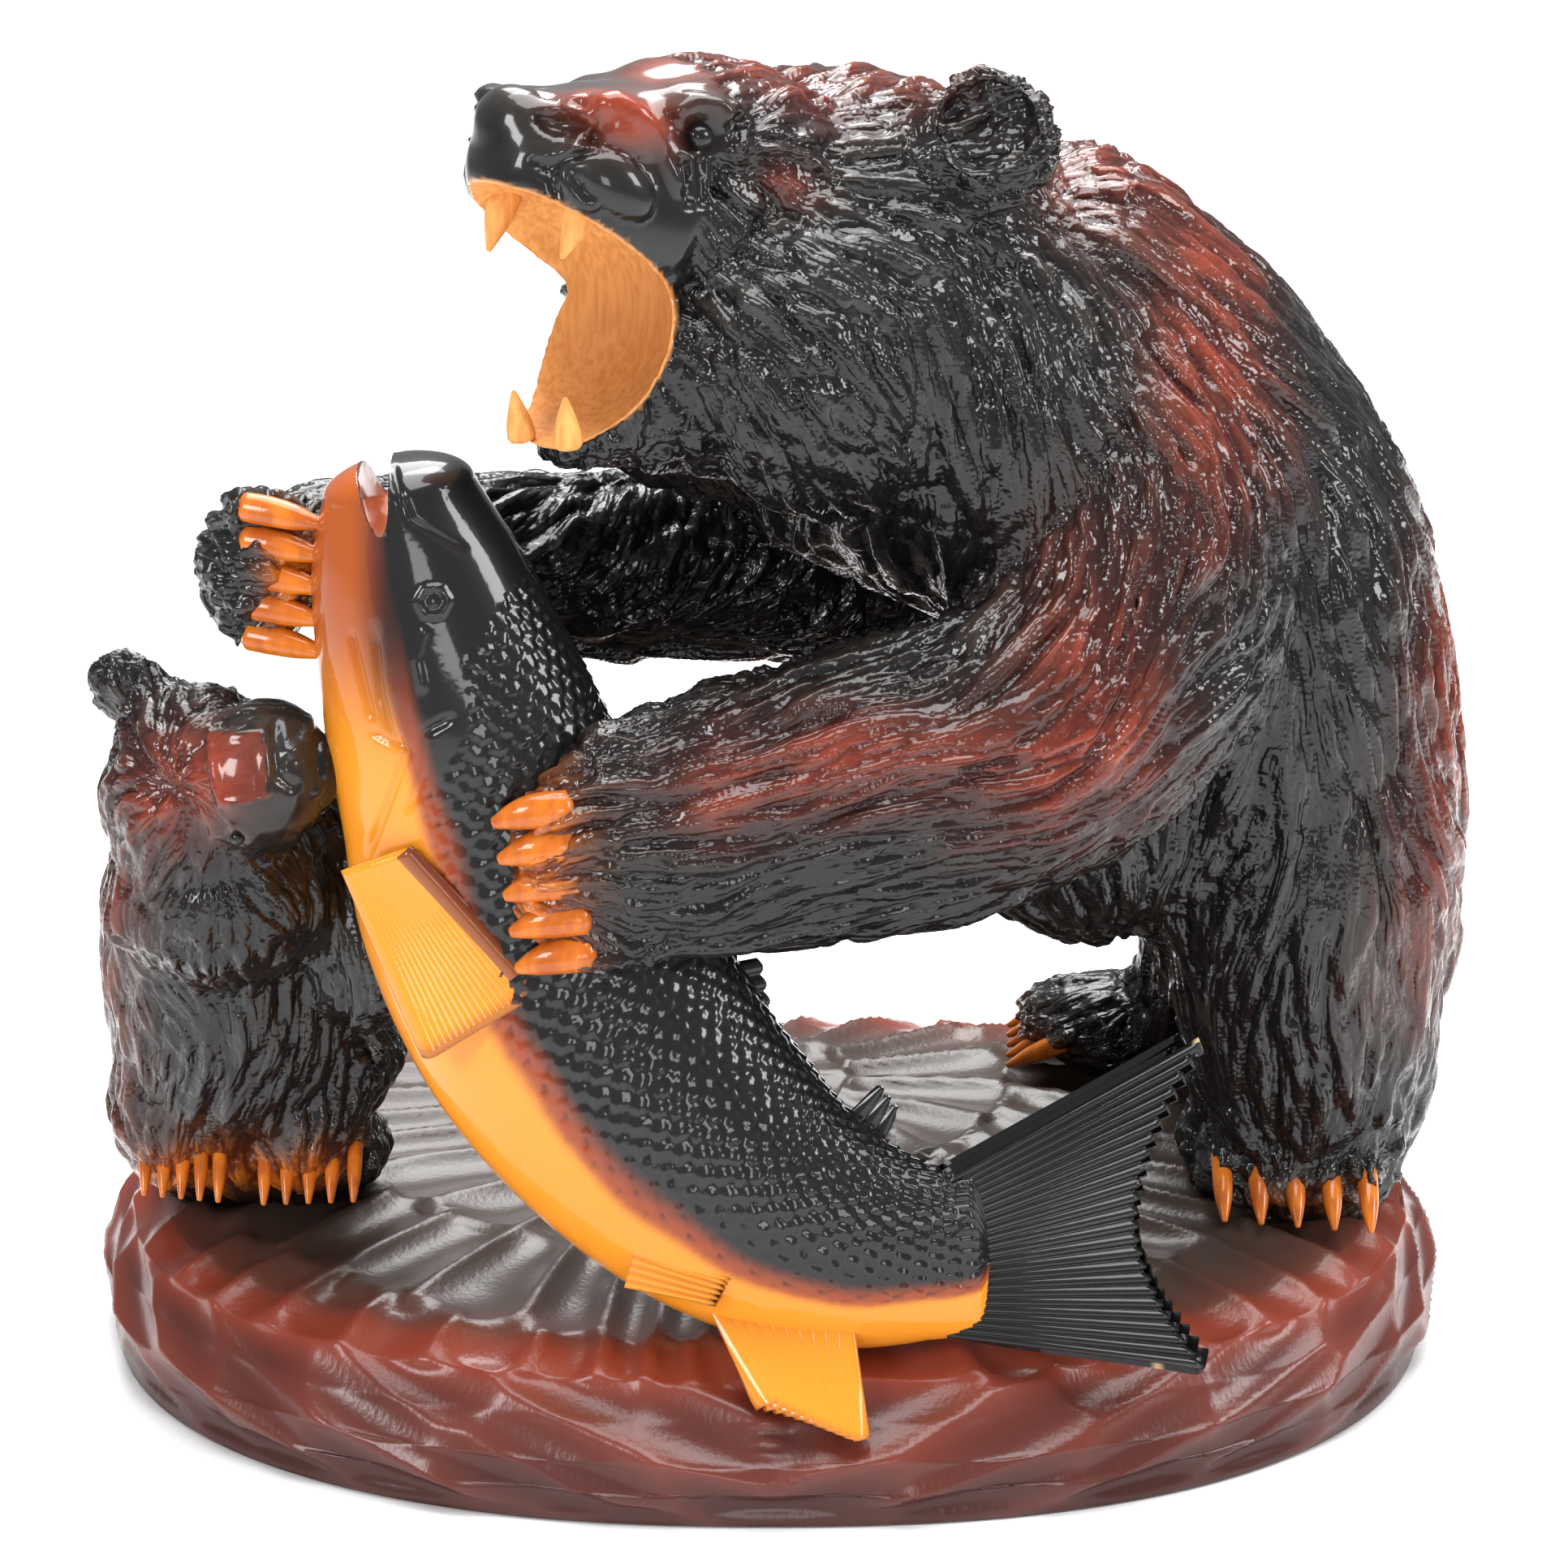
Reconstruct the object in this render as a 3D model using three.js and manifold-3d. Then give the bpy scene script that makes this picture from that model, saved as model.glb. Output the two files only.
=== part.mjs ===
// A mother bear, her cub and a salmon on a rock, carved from one block of wood.
// The mother stands on her hind feet and holds the salmon up in both forepaws; the cub noses it.
// Millimetres, +Z up, origin at the middle of the flat underside; the carving is seen from -Y.
import * as THREE from "three";
import { LoftGeometry } from "three/addons/geometries/LoftGeometry.js";
import { mergeVertices } from "three/addons/utils/BufferGeometryUtils.js";
import Module from "manifold-3d";

const wasm = await Module();
wasm.setup();

// Driving dimensions
const ROCK = { halfWidth: 212, halfDepth: 161, squareness: 2.3, gouges: 48, gougeDepth: 4 };
const FUR_DEPTH = 1.7;
const CLAW = { length: 15, root: 3.6, tip: 0.9 };
const PAW_CLAW = { length: 13, root: 4.2, tip: 1.4 };
const CUB_CLAW = { length: 12, root: 2.4, tip: 0.7 };
const FIN_THICKNESS = 5;
const TAIL_FIN = { rays: 10, thick: 9, notch: 20 };
const LACQUER = { color: 0x2a1710, roughness: 0.2, metalness: 0 };

const TOWARDS_VIEWER = new THREE.Vector3(0, -1, 0);
const vector = (p) => new THREE.Vector3(p[0], p[1], p[2]);

// Solids

// A closed three.js geometry as a solid that can be joined and cut.
function solidOf(geometry, matrix = new THREE.Matrix4()) {
  const bare = new THREE.BufferGeometry();
  bare.setAttribute("position", geometry.getAttribute("position"));
  bare.setIndex(geometry.getIndex());
  bare.applyMatrix4(matrix);
  const merged = mergeVertices(bare, 1e-3);
  return new wasm.Manifold(
    new wasm.Mesh({
      numProp: 3,
      vertProperties: new Float32Array(merged.attributes.position.array),
      triVerts: new Uint32Array(merged.index.array),
    }),
  );
}

// An ellipsoid: where it is, its three radii, and how it is turned.
function ball(at, radii, turn = [0, 0, 0], around = 20, down = 12) {
  const geometry = new THREE.SphereGeometry(1, around, down);
  const placed = new THREE.Matrix4().compose(
    vector(at),
    new THREE.Quaternion().setFromEuler(new THREE.Euler(turn[0], turn[1], turn[2])),
    vector(radii),
  );
  return solidOf(geometry, placed);
}

// A value that runs smoothly through the stations' own values.
function along(values, t) {
  const place = t * (values.length - 1);
  const i = Math.min(Math.floor(place), values.length - 2);
  const f = place - i;
  const before = values[Math.max(i - 1, 0)];
  const after = values[Math.min(i + 2, values.length - 1)];
  const [a, b] = [values[i], values[i + 1]];
  const slopeA = (b - before) / 2;
  const slopeB = (after - a) / 2;
  const [f2, f3] = [f * f, f * f * f];
  return a * (2 * f3 - 3 * f2 + 1) + slopeA * (f3 - 2 * f2 + f) + b * (3 * f2 - 2 * f3) + slopeB * (f3 - f2);
}

// A limb through stations [x, y, z, half depth, half width]. The depth is measured towards `facing`.
// Its section is an ellipse when `square` is 2 and boxier above that. Its surface stands up and down
// by `fur`, ring by ring, as rows of carved locks.
function limb(stations, options = {}) {
  const { sides = 20, rings = 12, fur = 0, facing = TOWARDS_VIEWER, dome = 0.5, square = 2 } = options;
  const boxed = (share) => Math.sign(share) * Math.abs(share) ** (2 / square);
  const path = new THREE.CatmullRomCurve3(stations.map(vector), false, "centripetal");
  const last = stations.length - 1;
  const depths = stations.map((s) => s[3]);
  const widths = stations.map((s) => s[4]);
  const sections = [];
  const addRing = (t, advance, shrink, row) => {
    const tangent = path.getTangent(t);
    const deep = facing.clone().addScaledVector(tangent, -facing.dot(tangent)).normalize();
    const wide = tangent.clone().cross(deep);
    const centre = path.getPoint(t).addScaledVector(tangent, advance);
    const ring = [];
    for (let j = 0; j < sides; j++) {
      const angle = (j / sides) * Math.PI * 2;
      const lock = fur * shrink * ((j + row) % 2 ? 1 : -1);
      const depth = along(depths, t) * shrink + lock;
      const width = along(widths, t) * shrink + lock;
      ring.push(
        centre
          .clone()
          .addScaledVector(deep, depth * boxed(Math.cos(angle)))
          .addScaledVector(wide, width * boxed(Math.sin(angle))),
      );
    }
    sections.push(ring);
  };
  const startReach = Math.min(depths[0], widths[0]) * dome;
  const endReach = Math.min(depths[last], widths[last]) * dome;
  if (dome) addRing(0, -startReach, 0.5, 0);
  for (let i = 0; i <= rings; i++) addRing(i / rings, 0, 1, i);
  if (dome) addRing(1, endReach, 0.5, rings);
  return solidOf(new LoftGeometry(sections, { capStart: true, capEnd: true }));
}

// A tooth: a cone from its root towards `way`, a little fuller in its middle.
function tooth(root, way, size) {
  const start = vector(root);
  const reach = vector(way).normalize().multiplyScalar(size.length);
  const middle = start.clone().addScaledVector(reach, 0.5);
  const end = start.clone().add(reach);
  const at = (p, r) => [p.x, p.y, p.z, r, r];
  const half = (size.root + size.tip) / 2 + 0.4;
  return limb([at(start, size.root), at(middle, half), at(end, size.tip)], { sides: 5, rings: 2, dome: 0 });
}

// A fin: a corrugated plate from a root edge to a tip edge, with one ridge for each ray.
function fin(rootA, rootB, tipA, tipB, { rays = 8, thick = FIN_THICKNESS, notch = 0 } = {}) {
  const plate = new THREE.BoxGeometry(1, 1, 1, rays * 2, 1, 1);
  const points = plate.getAttribute("position");
  const middle = (a, b) => vector(a).add(vector(b)).multiplyScalar(0.5);
  const outward = middle(tipA, tipB).sub(middle(rootA, rootB)).normalize();
  for (let i = 0; i < points.count; i++) {
    const across = points.getX(i) + 0.5;
    const out = points.getY(i) + 0.5;
    const column = Math.round(across * rays * 2);
    const edge = column === 0 || column === rays * 2;
    const ridge = edge ? 0.5 : column % 2 ? 1.25 : 0.7;
    const half = (thick / 2) * (1 - 0.35 * out);
    const side = points.getZ(i) > 0 ? half * ridge : -half;
    const a = vector(rootA).lerp(vector(tipA), out);
    const b = vector(rootB).lerp(vector(tipB), out);
    const p = a.lerp(b, across);
    p.addScaledVector(outward, -notch * out * Math.sin(Math.PI * across));
    p.addScaledVector(TOWARDS_VIEWER, side);
    points.setXYZ(i, p.x, p.y, p.z);
  }
  const made = solidOf(plate);
  return made.volume() > 0 ? made : fin(rootB, rootA, tipB, tipA, { rays, thick, notch });
}

const join = (solids) => solids.reduce((whole, next) => whole.add(next));

// The same solid moved into its group's place.
function placed(solid, group) {
  group.updateMatrix();
  return solid.transform(group.matrix.elements);
}

// Rock

// The rock: rings of a rounded oblong, steep at its two ends, that slope up to a low top in front.
// Each row holds the height and the ring's share of the half width and of the half depth.
// Every other corner is cut in, so that the sides and the rim stand as lozenges left by the gouge.
function makeRock() {
  const profile = [
    [0, 0.97, 0.965], [10, 0.99, 1], [21, 1, 0.985], [32, 0.985, 0.93], [41, 0.955, 0.86],
    [46, 0.9, 0.76], [48, 0.76, 0.6], [49, 0.3, 0.25],
  ];
  const topRows = 4;
  const sections = profile.map(([z, wide, deep], row) => {
    const ring = [];
    for (let j = 0; j < ROCK.gouges; j++) {
      const angle = (j / ROCK.gouges) * Math.PI * 2;
      const [c, s] = [Math.cos(angle), Math.sin(angle)];
      const power = 2 / ROCK.squareness;
      const x = Math.sign(c) * Math.abs(c) ** power * ROCK.halfWidth * wide;
      const y = Math.sign(s) * Math.abs(s) ** power * ROCK.halfDepth * deep;
      const cut = (j + row) % 2 ? ROCK.gougeDepth : 0;
      const kept = 1 - cut / Math.hypot(x, y);
      ring.push(new THREE.Vector3(x * kept, y * kept, row > topRows ? z - cut * 0.4 : z));
    }
    return ring;
  });
  return solidOf(new LoftGeometry(sections, { capStart: true, capEnd: true }));
}

// Mother bear

// The head's own frame: +X to the nose, +Y to its left cheek, +Z to the crown.
const HEAD = { at: [31, -20, 342], yaw: 36, pitch: 22, roll: 8 };

// The muzzle, and the lower jaw that hangs almost straight down: [forward, left, up, half across, half high].
const MUZZLE = [
  [62, 0, 2, 40, 38], [85, 0, 1, 35, 35], [100, 0, -1, 33, 31], [112, 0, -1, 31, 28], [124, 0, 0, 27, 23],
  [135, 0, 2, 18, 17],
];
const JAW = [[50, 0, -36, 40, 36], [74, 0, -50, 34, 30], [98, 0, -70, 19, 14]];
const MOUTH = { at: [122, 0, -43], radii: [48, 38, 37], tilt: 0.09 };
const EAR_TURN = 0.75;

function makeHead() {
  const leftward = new THREE.Vector3(0, 1, 0);
  const skull = ball([8, 0, 0], [72, 62, 57], [0, 0, 0], 12, 8);
  const forehead = ball([64, 0, 17], [44, 42, 29], [0, 0, 0], 10, 7);
  const muzzle = limb(MUZZLE, { facing: leftward, sides: 12, rings: 6, square: 2.7 });
  const jaw = limb(JAW, { facing: leftward, sides: 12, rings: 3, square: 2.6 });
  const nose = ball([139, 0, 8], [8, 13, 11], [0, 0, 0], 10, 6);
  const sides = [1, -1].flatMap((side) => [
    ball([27, side * 27, -29], [56, 39, 50], [0, 0, 0], 10, 7),
    ball([90, side * 22, 20], [18, 14, 13], [0, 0, 0], 7, 5),
    ball([119, side * 16, 12], [16, 14, 11], [0, 0, 0], 7, 5),
    ball([19, side * 58, 38], [11, 23, 24], [0, 0, side * EAR_TURN], 9, 6),
  ]);
  const mouth = ball(MOUTH.at, MOUTH.radii, [0, MOUTH.tilt, 0], 14, 9);
  const hollows = [1, -1].map((side) =>
    ball([27, side * 66, 40], [9, 15, 16], [0, 0, side * EAR_TURN], 8, 5),
  );
  const fangs = [1, -1].flatMap((side) => [
    tooth([121, side * 19, -9], [0.15, -side * 0.1, -1], { length: 20, root: 5, tip: 0.8 }),
    tooth([103, side * 11, -74], [0.45, side * 0.1, 1], { length: 15, root: 4.5, tip: 0.8 }),
  ]);
  const eyes = [1, -1].map((side) => ball([98, side * 33, 15], [5, 4, 5], [0, 0, 0], 6, 4));
  let head = join([skull, forehead, muzzle, jaw, nose, ...sides]).subtract(mouth);
  for (const hollow of hollows) head = head.subtract(hollow);
  return join([head, ...fangs, ...eyes]);
}

// The torso rises from the haunch to the shoulders; the neck runs from them into the back of the head.
const TORSO = [
  [164, 26, 96, 60, 42], [167, 24, 120, 76, 52], [163, 21, 153, 84, 56], [153, 19, 195, 86, 61],
  [137, 14, 239, 86, 67], [117, 8, 273, 80, 66], [97, 2, 303, 73, 61], [72, -4, 328, 62, 58],
];
const NECK = [[20, -25, 315, 62, 60], [56, -18, 306, 70, 67], [90, -6, 288, 74, 65]];
const NEAR_ARM = [
  [100, -26, 306, 44, 40], [112, -48, 278, 42, 46], [106, -64, 248, 38, 46], [90, -76, 226, 38, 45],
  [60, -86, 212, 36, 46], [24, -94, 205, 33, 45], [-11, -101, 200, 30, 43], [-46, -110, 193, 24, 37],
];
const FAR_ARM = [
  [100, 46, 275, 38, 44], [63, 38, 262, 38, 42], [26, 28, 245, 34, 40], [-12, 12, 242, 30, 33],
  [-48, -4, 246, 28, 30], [-85, -20, 254, 26, 27], [-120, -38, 261, 23, 24], [-143, -55, 263, 20, 21],
];
const NEAR_LEG = [
  [156, -16, 190, 46, 50], [163, -22, 158, 45, 50], [166, -20, 124, 42, 44], [168, -16, 93, 38, 41],
  [167, -12, 64, 34, 36],
];
const FAR_LEG = [[162, 62, 122, 40, 46], [154, 72, 90, 33, 37], [140, 79, 64, 27, 26]];

// A row of toes, each drawn out into a claw, spread from one end of a line to the other.
function toes(from, to, way, size, { radius = 9, droop = 3, count = 5 } = {}) {
  const heading = vector(way).normalize();
  return Array.from({ length: count }, (_, i) => {
    const at = vector(from).lerp(vector(to), i / (count - 1));
    const station = (distance, drop, r) => {
      const p = at.clone().addScaledVector(heading, distance);
      return [p.x, p.y, p.z - drop, r, r];
    };
    return limb(
      [
        station(0, 0, radius),
        station(radius * 0.8, 0, radius * 0.8),
        station(radius * 1.1, 0, size.root),
        station(radius + size.length, droop, size.tip),
      ],
      { sides: 5, rings: 3, dome: 0 },
    );
  });
}

function makeMother() {
  const head = new THREE.Group();
  const degrees = THREE.MathUtils.degToRad;
  head.position.fromArray(HEAD.at);
  head.rotation.set(degrees(HEAD.roll), -degrees(HEAD.pitch), Math.PI + degrees(HEAD.yaw), "ZYX");
  return join([
    limb(TORSO, { sides: 18, rings: 9, fur: FUR_DEPTH }),
    limb(NECK, { sides: 14, rings: 3, fur: FUR_DEPTH }),
    limb(NEAR_ARM, { sides: 14, rings: 9, fur: FUR_DEPTH }),
    limb(FAR_ARM, { sides: 10, rings: 7, fur: FUR_DEPTH }),
    limb(NEAR_LEG, { sides: 11, rings: 4, fur: FUR_DEPTH }),
    limb(FAR_LEG, { sides: 10, rings: 3, fur: FUR_DEPTH }),
    ball([100, -10, 180], [50, 56, 52], [0, 0, 0], 10, 7),
    ball([196, 62, 118], [16, 17, 18], [0, 0, 0], 8, 5),
    ball([-54, -112, 190], [24, 20, 32], [0, 0, 0], 10, 6),
    ...toes([-59, -119, 213], [-53, -121, 166], [-1, 0.1, -0.1], PAW_CLAW, { radius: 8, droop: 1 }),
    ball([-147, -66, 265], [20, 22, 25], [0, 0, 0], 10, 6),
    ...toes([-147, -78, 286], [-147, -80, 248], [1, -0.3, -0.1], PAW_CLAW, { radius: 7, droop: 1 }),
    ball([164, -12, 58], [37, 37, 26], [0, 0, 0], 10, 6),
    ...toes([140, -34, 63], [184, -42, 63], [0, -1, -0.7], CLAW, { radius: 8, droop: 1 }),
    ball([114, 84, 60], [34, 27, 17], [0, 0, 0], 10, 6),
    ...toes([100, 68, 60], [102, 102, 60], [-1, 0, -0.4], CLAW, { radius: 8, droop: 1 }),
    placed(makeHead(), head),
  ]);
}

// Cub

const CUB_BODY = [
  [-165, -56, 178, 28, 30], [-166, -48, 150, 32, 36], [-161, -36, 112, 38, 42], [-162, -16, 78, 36, 40],
  [-162, -4, 54, 28, 36],
];

const CUB_ARM = [[-152, -48, 178, 22, 26], [-128, -56, 158, 20, 25], [-108, -68, 134, 16, 22]];
const CUB_KNEE = [[-144, -30, 106, 26, 28], [-124, -36, 92, 20, 22]];

function makeCub() {
  return join([
    limb(CUB_ARM, { sides: 8, rings: 3, dome: 0 }),
    limb(CUB_KNEE, { sides: 8, rings: 2 }),
    limb(CUB_BODY, { sides: 10, rings: 5, fur: FUR_DEPTH * 0.7 }),
    ball([-166, -76, 196], [30, 28, 38], [0, 0, 0.2], 10, 7),
    ball([-162, -74, 168], [35, 28, 31], [0, 0, 0], 10, 6),
    ball([-147, -88, 208], [22, 21, 24], [0, 0.5, 0.5], 10, 7),
    ball([-131, -88, 209], [8, 10, 13], [0, 0.3, 0], 7, 5),
    ball([-186, -70, 230], [14, 8, 12], [0, 0.4, 0], 7, 5),
    ball([-184, -84, 163], [14, 8, 11], [0, -0.4, 0], 7, 5),
    ball([-184, -34, 86], [20, 28, 32], [0, 0, 0], 8, 5),
    ball([-142, -38, 84], [22, 28, 30], [0, 0, 0], 8, 5),
    ball([-178, -18, 60], [20, 20, 18], [0, 0, 0], 8, 5),
    ball([-139, -16, 60], [22, 21, 19], [0, 0, 0], 8, 5),
    ...toes([-189, -30, 65], [-165, -34, 65], [0, -0.7, -0.7], CUB_CLAW, { radius: 5, droop: 0 }),
    ...toes([-156, -32, 65], [-122, -28, 65], [0, -0.7, -0.7], CUB_CLAW, { radius: 5, droop: 0 }),
  ]);
}

// Salmon

const SALMON = [
  [-105, -82, 293, 20, 22], [-102, -83, 275, 24, 29], [-97, -84, 254, 27, 34], [-90, -85, 229, 30, 39],
  [-82, -86, 202, 31, 43], [-72, -89, 170, 32, 48], [-55, -96, 136, 32, 49], [-31, -105, 107, 31, 46],
  [-4, -113, 86, 28, 41], [24, -120, 76, 22, 34], [48, -125, 74, 14, 27], [60, -127, 75, 9, 25],
];

function makeSalmon() {
  const body = limb(SALMON, { sides: 14, rings: 12 });
  const gape = ball([-112, -84, 306], [5, 40, 24], [0, -0.15, 0], 8, 6);
  return join([
    body.subtract(gape),
    fin([52, -127, 100], [52, -129, 50], [126, -108, 136], [127, -146, 48], TAIL_FIN),
    fin([-119, -108, 189], [-103, -112, 196], [-96, -123, 136], [-66, -118, 154], { rays: 8, thick: 7 }),
    fin([-36, -132, 90], [-42, -130, 66], [-8, -138, 78], [-16, -138, 64], { rays: 5, thick: 6 }),
    fin([-16, -126, 56], [24, -130, 54], [0, -146, 36], [26, -150, 26], { rays: 6, thick: 7 }),
    fin([-26, -98, 152], [-2, -102, 126], [-2, -92, 154], [4, -96, 124], { rays: 5 }),
    fin([22, -112, 112], [34, -114, 106], [32, -110, 122], [38, -112, 114], { rays: 3 }),
  ]);
}

// Everything is one piece of wood.
const whole = join([makeRock(), makeMother(), makeCub(), makeSalmon()]);
const { vertProperties, triVerts } = whole.getMesh();
const carvedGeometry = new THREE.BufferGeometry();
carvedGeometry.setAttribute("position", new THREE.BufferAttribute(vertProperties, 3));
carvedGeometry.setIndex(new THREE.BufferAttribute(triVerts, 1));
carvedGeometry.computeVertexNormals();

const carving = new THREE.Mesh(carvedGeometry, new THREE.MeshStandardMaterial(LACQUER));
carving.name = "bears_and_salmon";

const sculpture = new THREE.Group();
sculpture.add(carving);
export default sculpture;
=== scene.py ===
"""Looks for a lacquered wood carving: a mother bear with a salmon in her forepaws, and her cub.

The forms are primitives drawn out along the carving's limbs, fused into one body, and then carved:
the fur is cut along a flow of directions, the fish's scales and the rock's gouge cuts row by row.
Sizes are in millimetres in the carving's own frame, and become metres as each mesh is placed.
"""

import logging
import math
from dataclasses import dataclass, field
from enum import Enum

import bpy
import numpy as np
from mathutils import Euler, Matrix, Vector


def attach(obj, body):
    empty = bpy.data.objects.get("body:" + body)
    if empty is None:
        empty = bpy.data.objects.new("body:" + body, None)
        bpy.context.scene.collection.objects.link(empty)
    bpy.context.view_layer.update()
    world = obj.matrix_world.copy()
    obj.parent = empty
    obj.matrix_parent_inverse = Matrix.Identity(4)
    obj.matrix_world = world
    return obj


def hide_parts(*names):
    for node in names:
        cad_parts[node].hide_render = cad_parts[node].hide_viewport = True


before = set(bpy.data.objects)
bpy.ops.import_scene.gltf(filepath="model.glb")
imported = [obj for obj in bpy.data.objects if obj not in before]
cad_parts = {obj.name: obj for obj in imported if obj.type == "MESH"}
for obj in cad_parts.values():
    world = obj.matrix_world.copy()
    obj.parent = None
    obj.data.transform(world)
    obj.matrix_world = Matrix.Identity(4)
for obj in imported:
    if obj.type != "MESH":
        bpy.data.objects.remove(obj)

logging.basicConfig(level=logging.INFO, format="%(message)s")
LOG = logging.getLogger("carving")

MM = 0.001
NODE = "bears_and_salmon"
BODY = "root"
TOWARDS_VIEWER = (0.0, -1.0, 0.0)

Triple = tuple[float, float, float]
Station = tuple[float, float, float, float, float]


# Numbers


def smooth_step(value: np.ndarray, low: float, high: float) -> np.ndarray:
    """Rise from 0 to 1 as the value goes from low to high."""
    t = np.clip((value - low) / (high - low), 0.0, 1.0)
    return t * t * (3.0 - 2.0 * t)


def unit(vectors: np.ndarray) -> np.ndarray:
    """Scale each row to length one."""
    return vectors / np.maximum(np.linalg.norm(vectors, axis=-1, keepdims=True), 1e-9)


def lattice_value(cell: np.ndarray, seed: int) -> np.ndarray:
    """Give each whole-number cell its own value from -1 to 1.

    Args:
        cell: Three whole numbers for each cell.
        seed: Which set of values.

    Returns:
        One value for each cell.
    """
    c = cell.astype(np.int64).astype(np.uint32)
    mixed = c[..., 0] * np.uint32(73856093) ^ c[..., 1] * np.uint32(19349663)
    mixed = mixed ^ c[..., 2] * np.uint32(83492791) ^ np.uint32(seed * 2654435 + 17)
    mixed = (mixed ^ (mixed >> np.uint32(15))) * np.uint32(2246822519)
    mixed = (mixed ^ (mixed >> np.uint32(13))) * np.uint32(3266489917)
    return (mixed ^ (mixed >> np.uint32(16))).astype(np.float64) / 2147483648.0 - 1.0


def soft_noise(points: np.ndarray, size: float, seed: int) -> np.ndarray:
    """Smooth noise in space.

    Args:
        points: Places in millimetres, one per row.
        size: How wide one blob of the noise is.
        seed: Which noise.

    Returns:
        A value from -1 to 1 for each place.
    """
    q = points / size
    base = np.floor(q)
    f = q - base
    f = f * f * (3.0 - 2.0 * f)
    total = np.zeros(len(points))
    for corner in np.ndindex(2, 2, 2):
        weight = np.ones(len(points))
        for axis, far in enumerate(corner):
            weight *= f[:, axis] if far else 1.0 - f[:, axis]
        total += weight * lattice_value(base + np.array(corner), seed)
    return total


def through(values: np.ndarray, t: np.ndarray) -> np.ndarray:
    """Run a smooth curve through rows of values.

    Args:
        values: One row for each station.
        t: Places along the stations, from 0 to 1.

    Returns:
        One row for each place.
    """
    last = len(values) - 1
    place = np.clip(t, 0.0, 1.0) * last
    i = np.minimum(place.astype(int), last - 1)
    f = (place - i)[:, None]
    a, b = values[i], values[i + 1]
    slope_a = (b - values[np.maximum(i - 1, 0)]) / 2.0
    slope_b = (values[np.minimum(i + 2, last)] - a) / 2.0
    f2, f3 = f * f, f * f * f
    ends = a * (2 * f3 - 3 * f2 + 1) + b * (3 * f2 - 2 * f3)
    return ends + slope_a * (f3 - 2 * f2 + f) + slope_b * (f3 - f2)


def distance_to_line(points: np.ndarray, line: np.ndarray) -> tuple[np.ndarray, np.ndarray]:
    """Measure how far each point lies from a bent line.

    Args:
        points: Places, one per row, in as many dimensions as the line.
        line: The line's own points in order.

    Returns:
        The distance, and how far along the line the nearest place is, from 0 to 1.
    """
    best = np.full(len(points), 1e9)
    where = np.zeros(len(points))
    pieces = len(line) - 1
    for k in range(pieces):
        start, reach = line[k], line[k + 1] - line[k]
        t = np.clip((points - start) @ reach / max(float(reach @ reach), 1e-9), 0.0, 1.0)
        gap = np.linalg.norm(points - start - t[:, None] * reach, axis=1)
        nearer = gap < best
        best = np.where(nearer, gap, best)
        where = np.where(nearer, (k + t) / pieces, where)
    return best, where


# Modelling


def alone() -> None:
    """Leave edit mode, with nothing selected."""
    if bpy.context.object and bpy.context.object.mode != "OBJECT":
        bpy.ops.object.mode_set(mode="OBJECT")
    bpy.ops.object.select_all(action="DESELECT")


def pick(piece: bpy.types.Object) -> None:
    """Make a piece the only one selected, and active.

    Args:
        piece: The piece.
    """
    alone()
    piece.select_set(True)
    bpy.context.view_layer.objects.active = piece


def apply(piece: bpy.types.Object, kind: str, **settings: object) -> None:
    """Add a modifier with its settings and apply it at once.

    Args:
        piece: The piece that it works on.
        kind: Which modifier.
        settings: The modifier's own settings.
    """
    pick(piece)
    made = piece.modifiers.new(kind.lower(), kind)
    for key, value in settings.items():
        setattr(made, key, value)
    bpy.ops.object.modifier_apply(modifier=made.name)


def places(piece: bpy.types.Object) -> np.ndarray:
    """Read a mesh's vertices in millimetres.

    Args:
        piece: The mesh.

    Returns:
        One place for each vertex.
    """
    found = np.empty(len(piece.data.vertices) * 3, np.float32)
    piece.data.vertices.foreach_get("co", found)
    return found.reshape(-1, 3).astype(float) / MM


def set_places(piece: bpy.types.Object, points: np.ndarray) -> None:
    """Write a mesh's vertices, given in millimetres."""
    piece.data.vertices.foreach_set("co", (points * MM).astype(np.float32).ravel())
    piece.data.update()


def normals(piece: bpy.types.Object) -> np.ndarray:
    """Read the direction that each vertex faces.

    Args:
        piece: The mesh.

    Returns:
        One direction of length one for each vertex.
    """
    found = np.empty(len(piece.data.vertices) * 3, np.float32)
    piece.data.vertex_normals.foreach_get("vector", found)
    return found.reshape(-1, 3).astype(float)


def keep(piece: bpy.types.Object, name: str, values: np.ndarray) -> None:
    """Store a number or a direction on each vertex for the finish to read.

    Args:
        piece: The mesh.
        name: What the finish calls it.
        values: A number or a row of three for each vertex.
    """
    form = "FLOAT_VECTOR" if values.ndim == 2 else "FLOAT"
    layer = piece.data.attributes.get(name) or piece.data.attributes.new(name, form, "POINT")
    layer.data.foreach_set("vector" if values.ndim == 2 else "value", values.astype(np.float32).ravel())


def kept(piece: bpy.types.Object, name: str) -> np.ndarray:
    """Read a number back from each vertex.

    Args:
        piece: The mesh.
        name: What it was stored as.

    Returns:
        One number for each vertex.
    """
    found = np.empty(len(piece.data.vertices), np.float32)
    piece.data.attributes[name].data.foreach_get("value", found)
    return found.astype(float)


def join(name: str, parts: list[bpy.types.Object]) -> bpy.types.Object:
    """Join loose parts into one mesh with that name.

    Args:
        name: The new piece's name.
        parts: The meshes.

    Returns:
        The one mesh.
    """
    alone()
    for part in parts:
        part.select_set(True)
    bpy.context.view_layer.objects.active = parts[0]
    if len(parts) > 1:
        bpy.ops.object.join()
    parts[0].name = name
    parts[0].data.name = name
    return parts[0]


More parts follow.
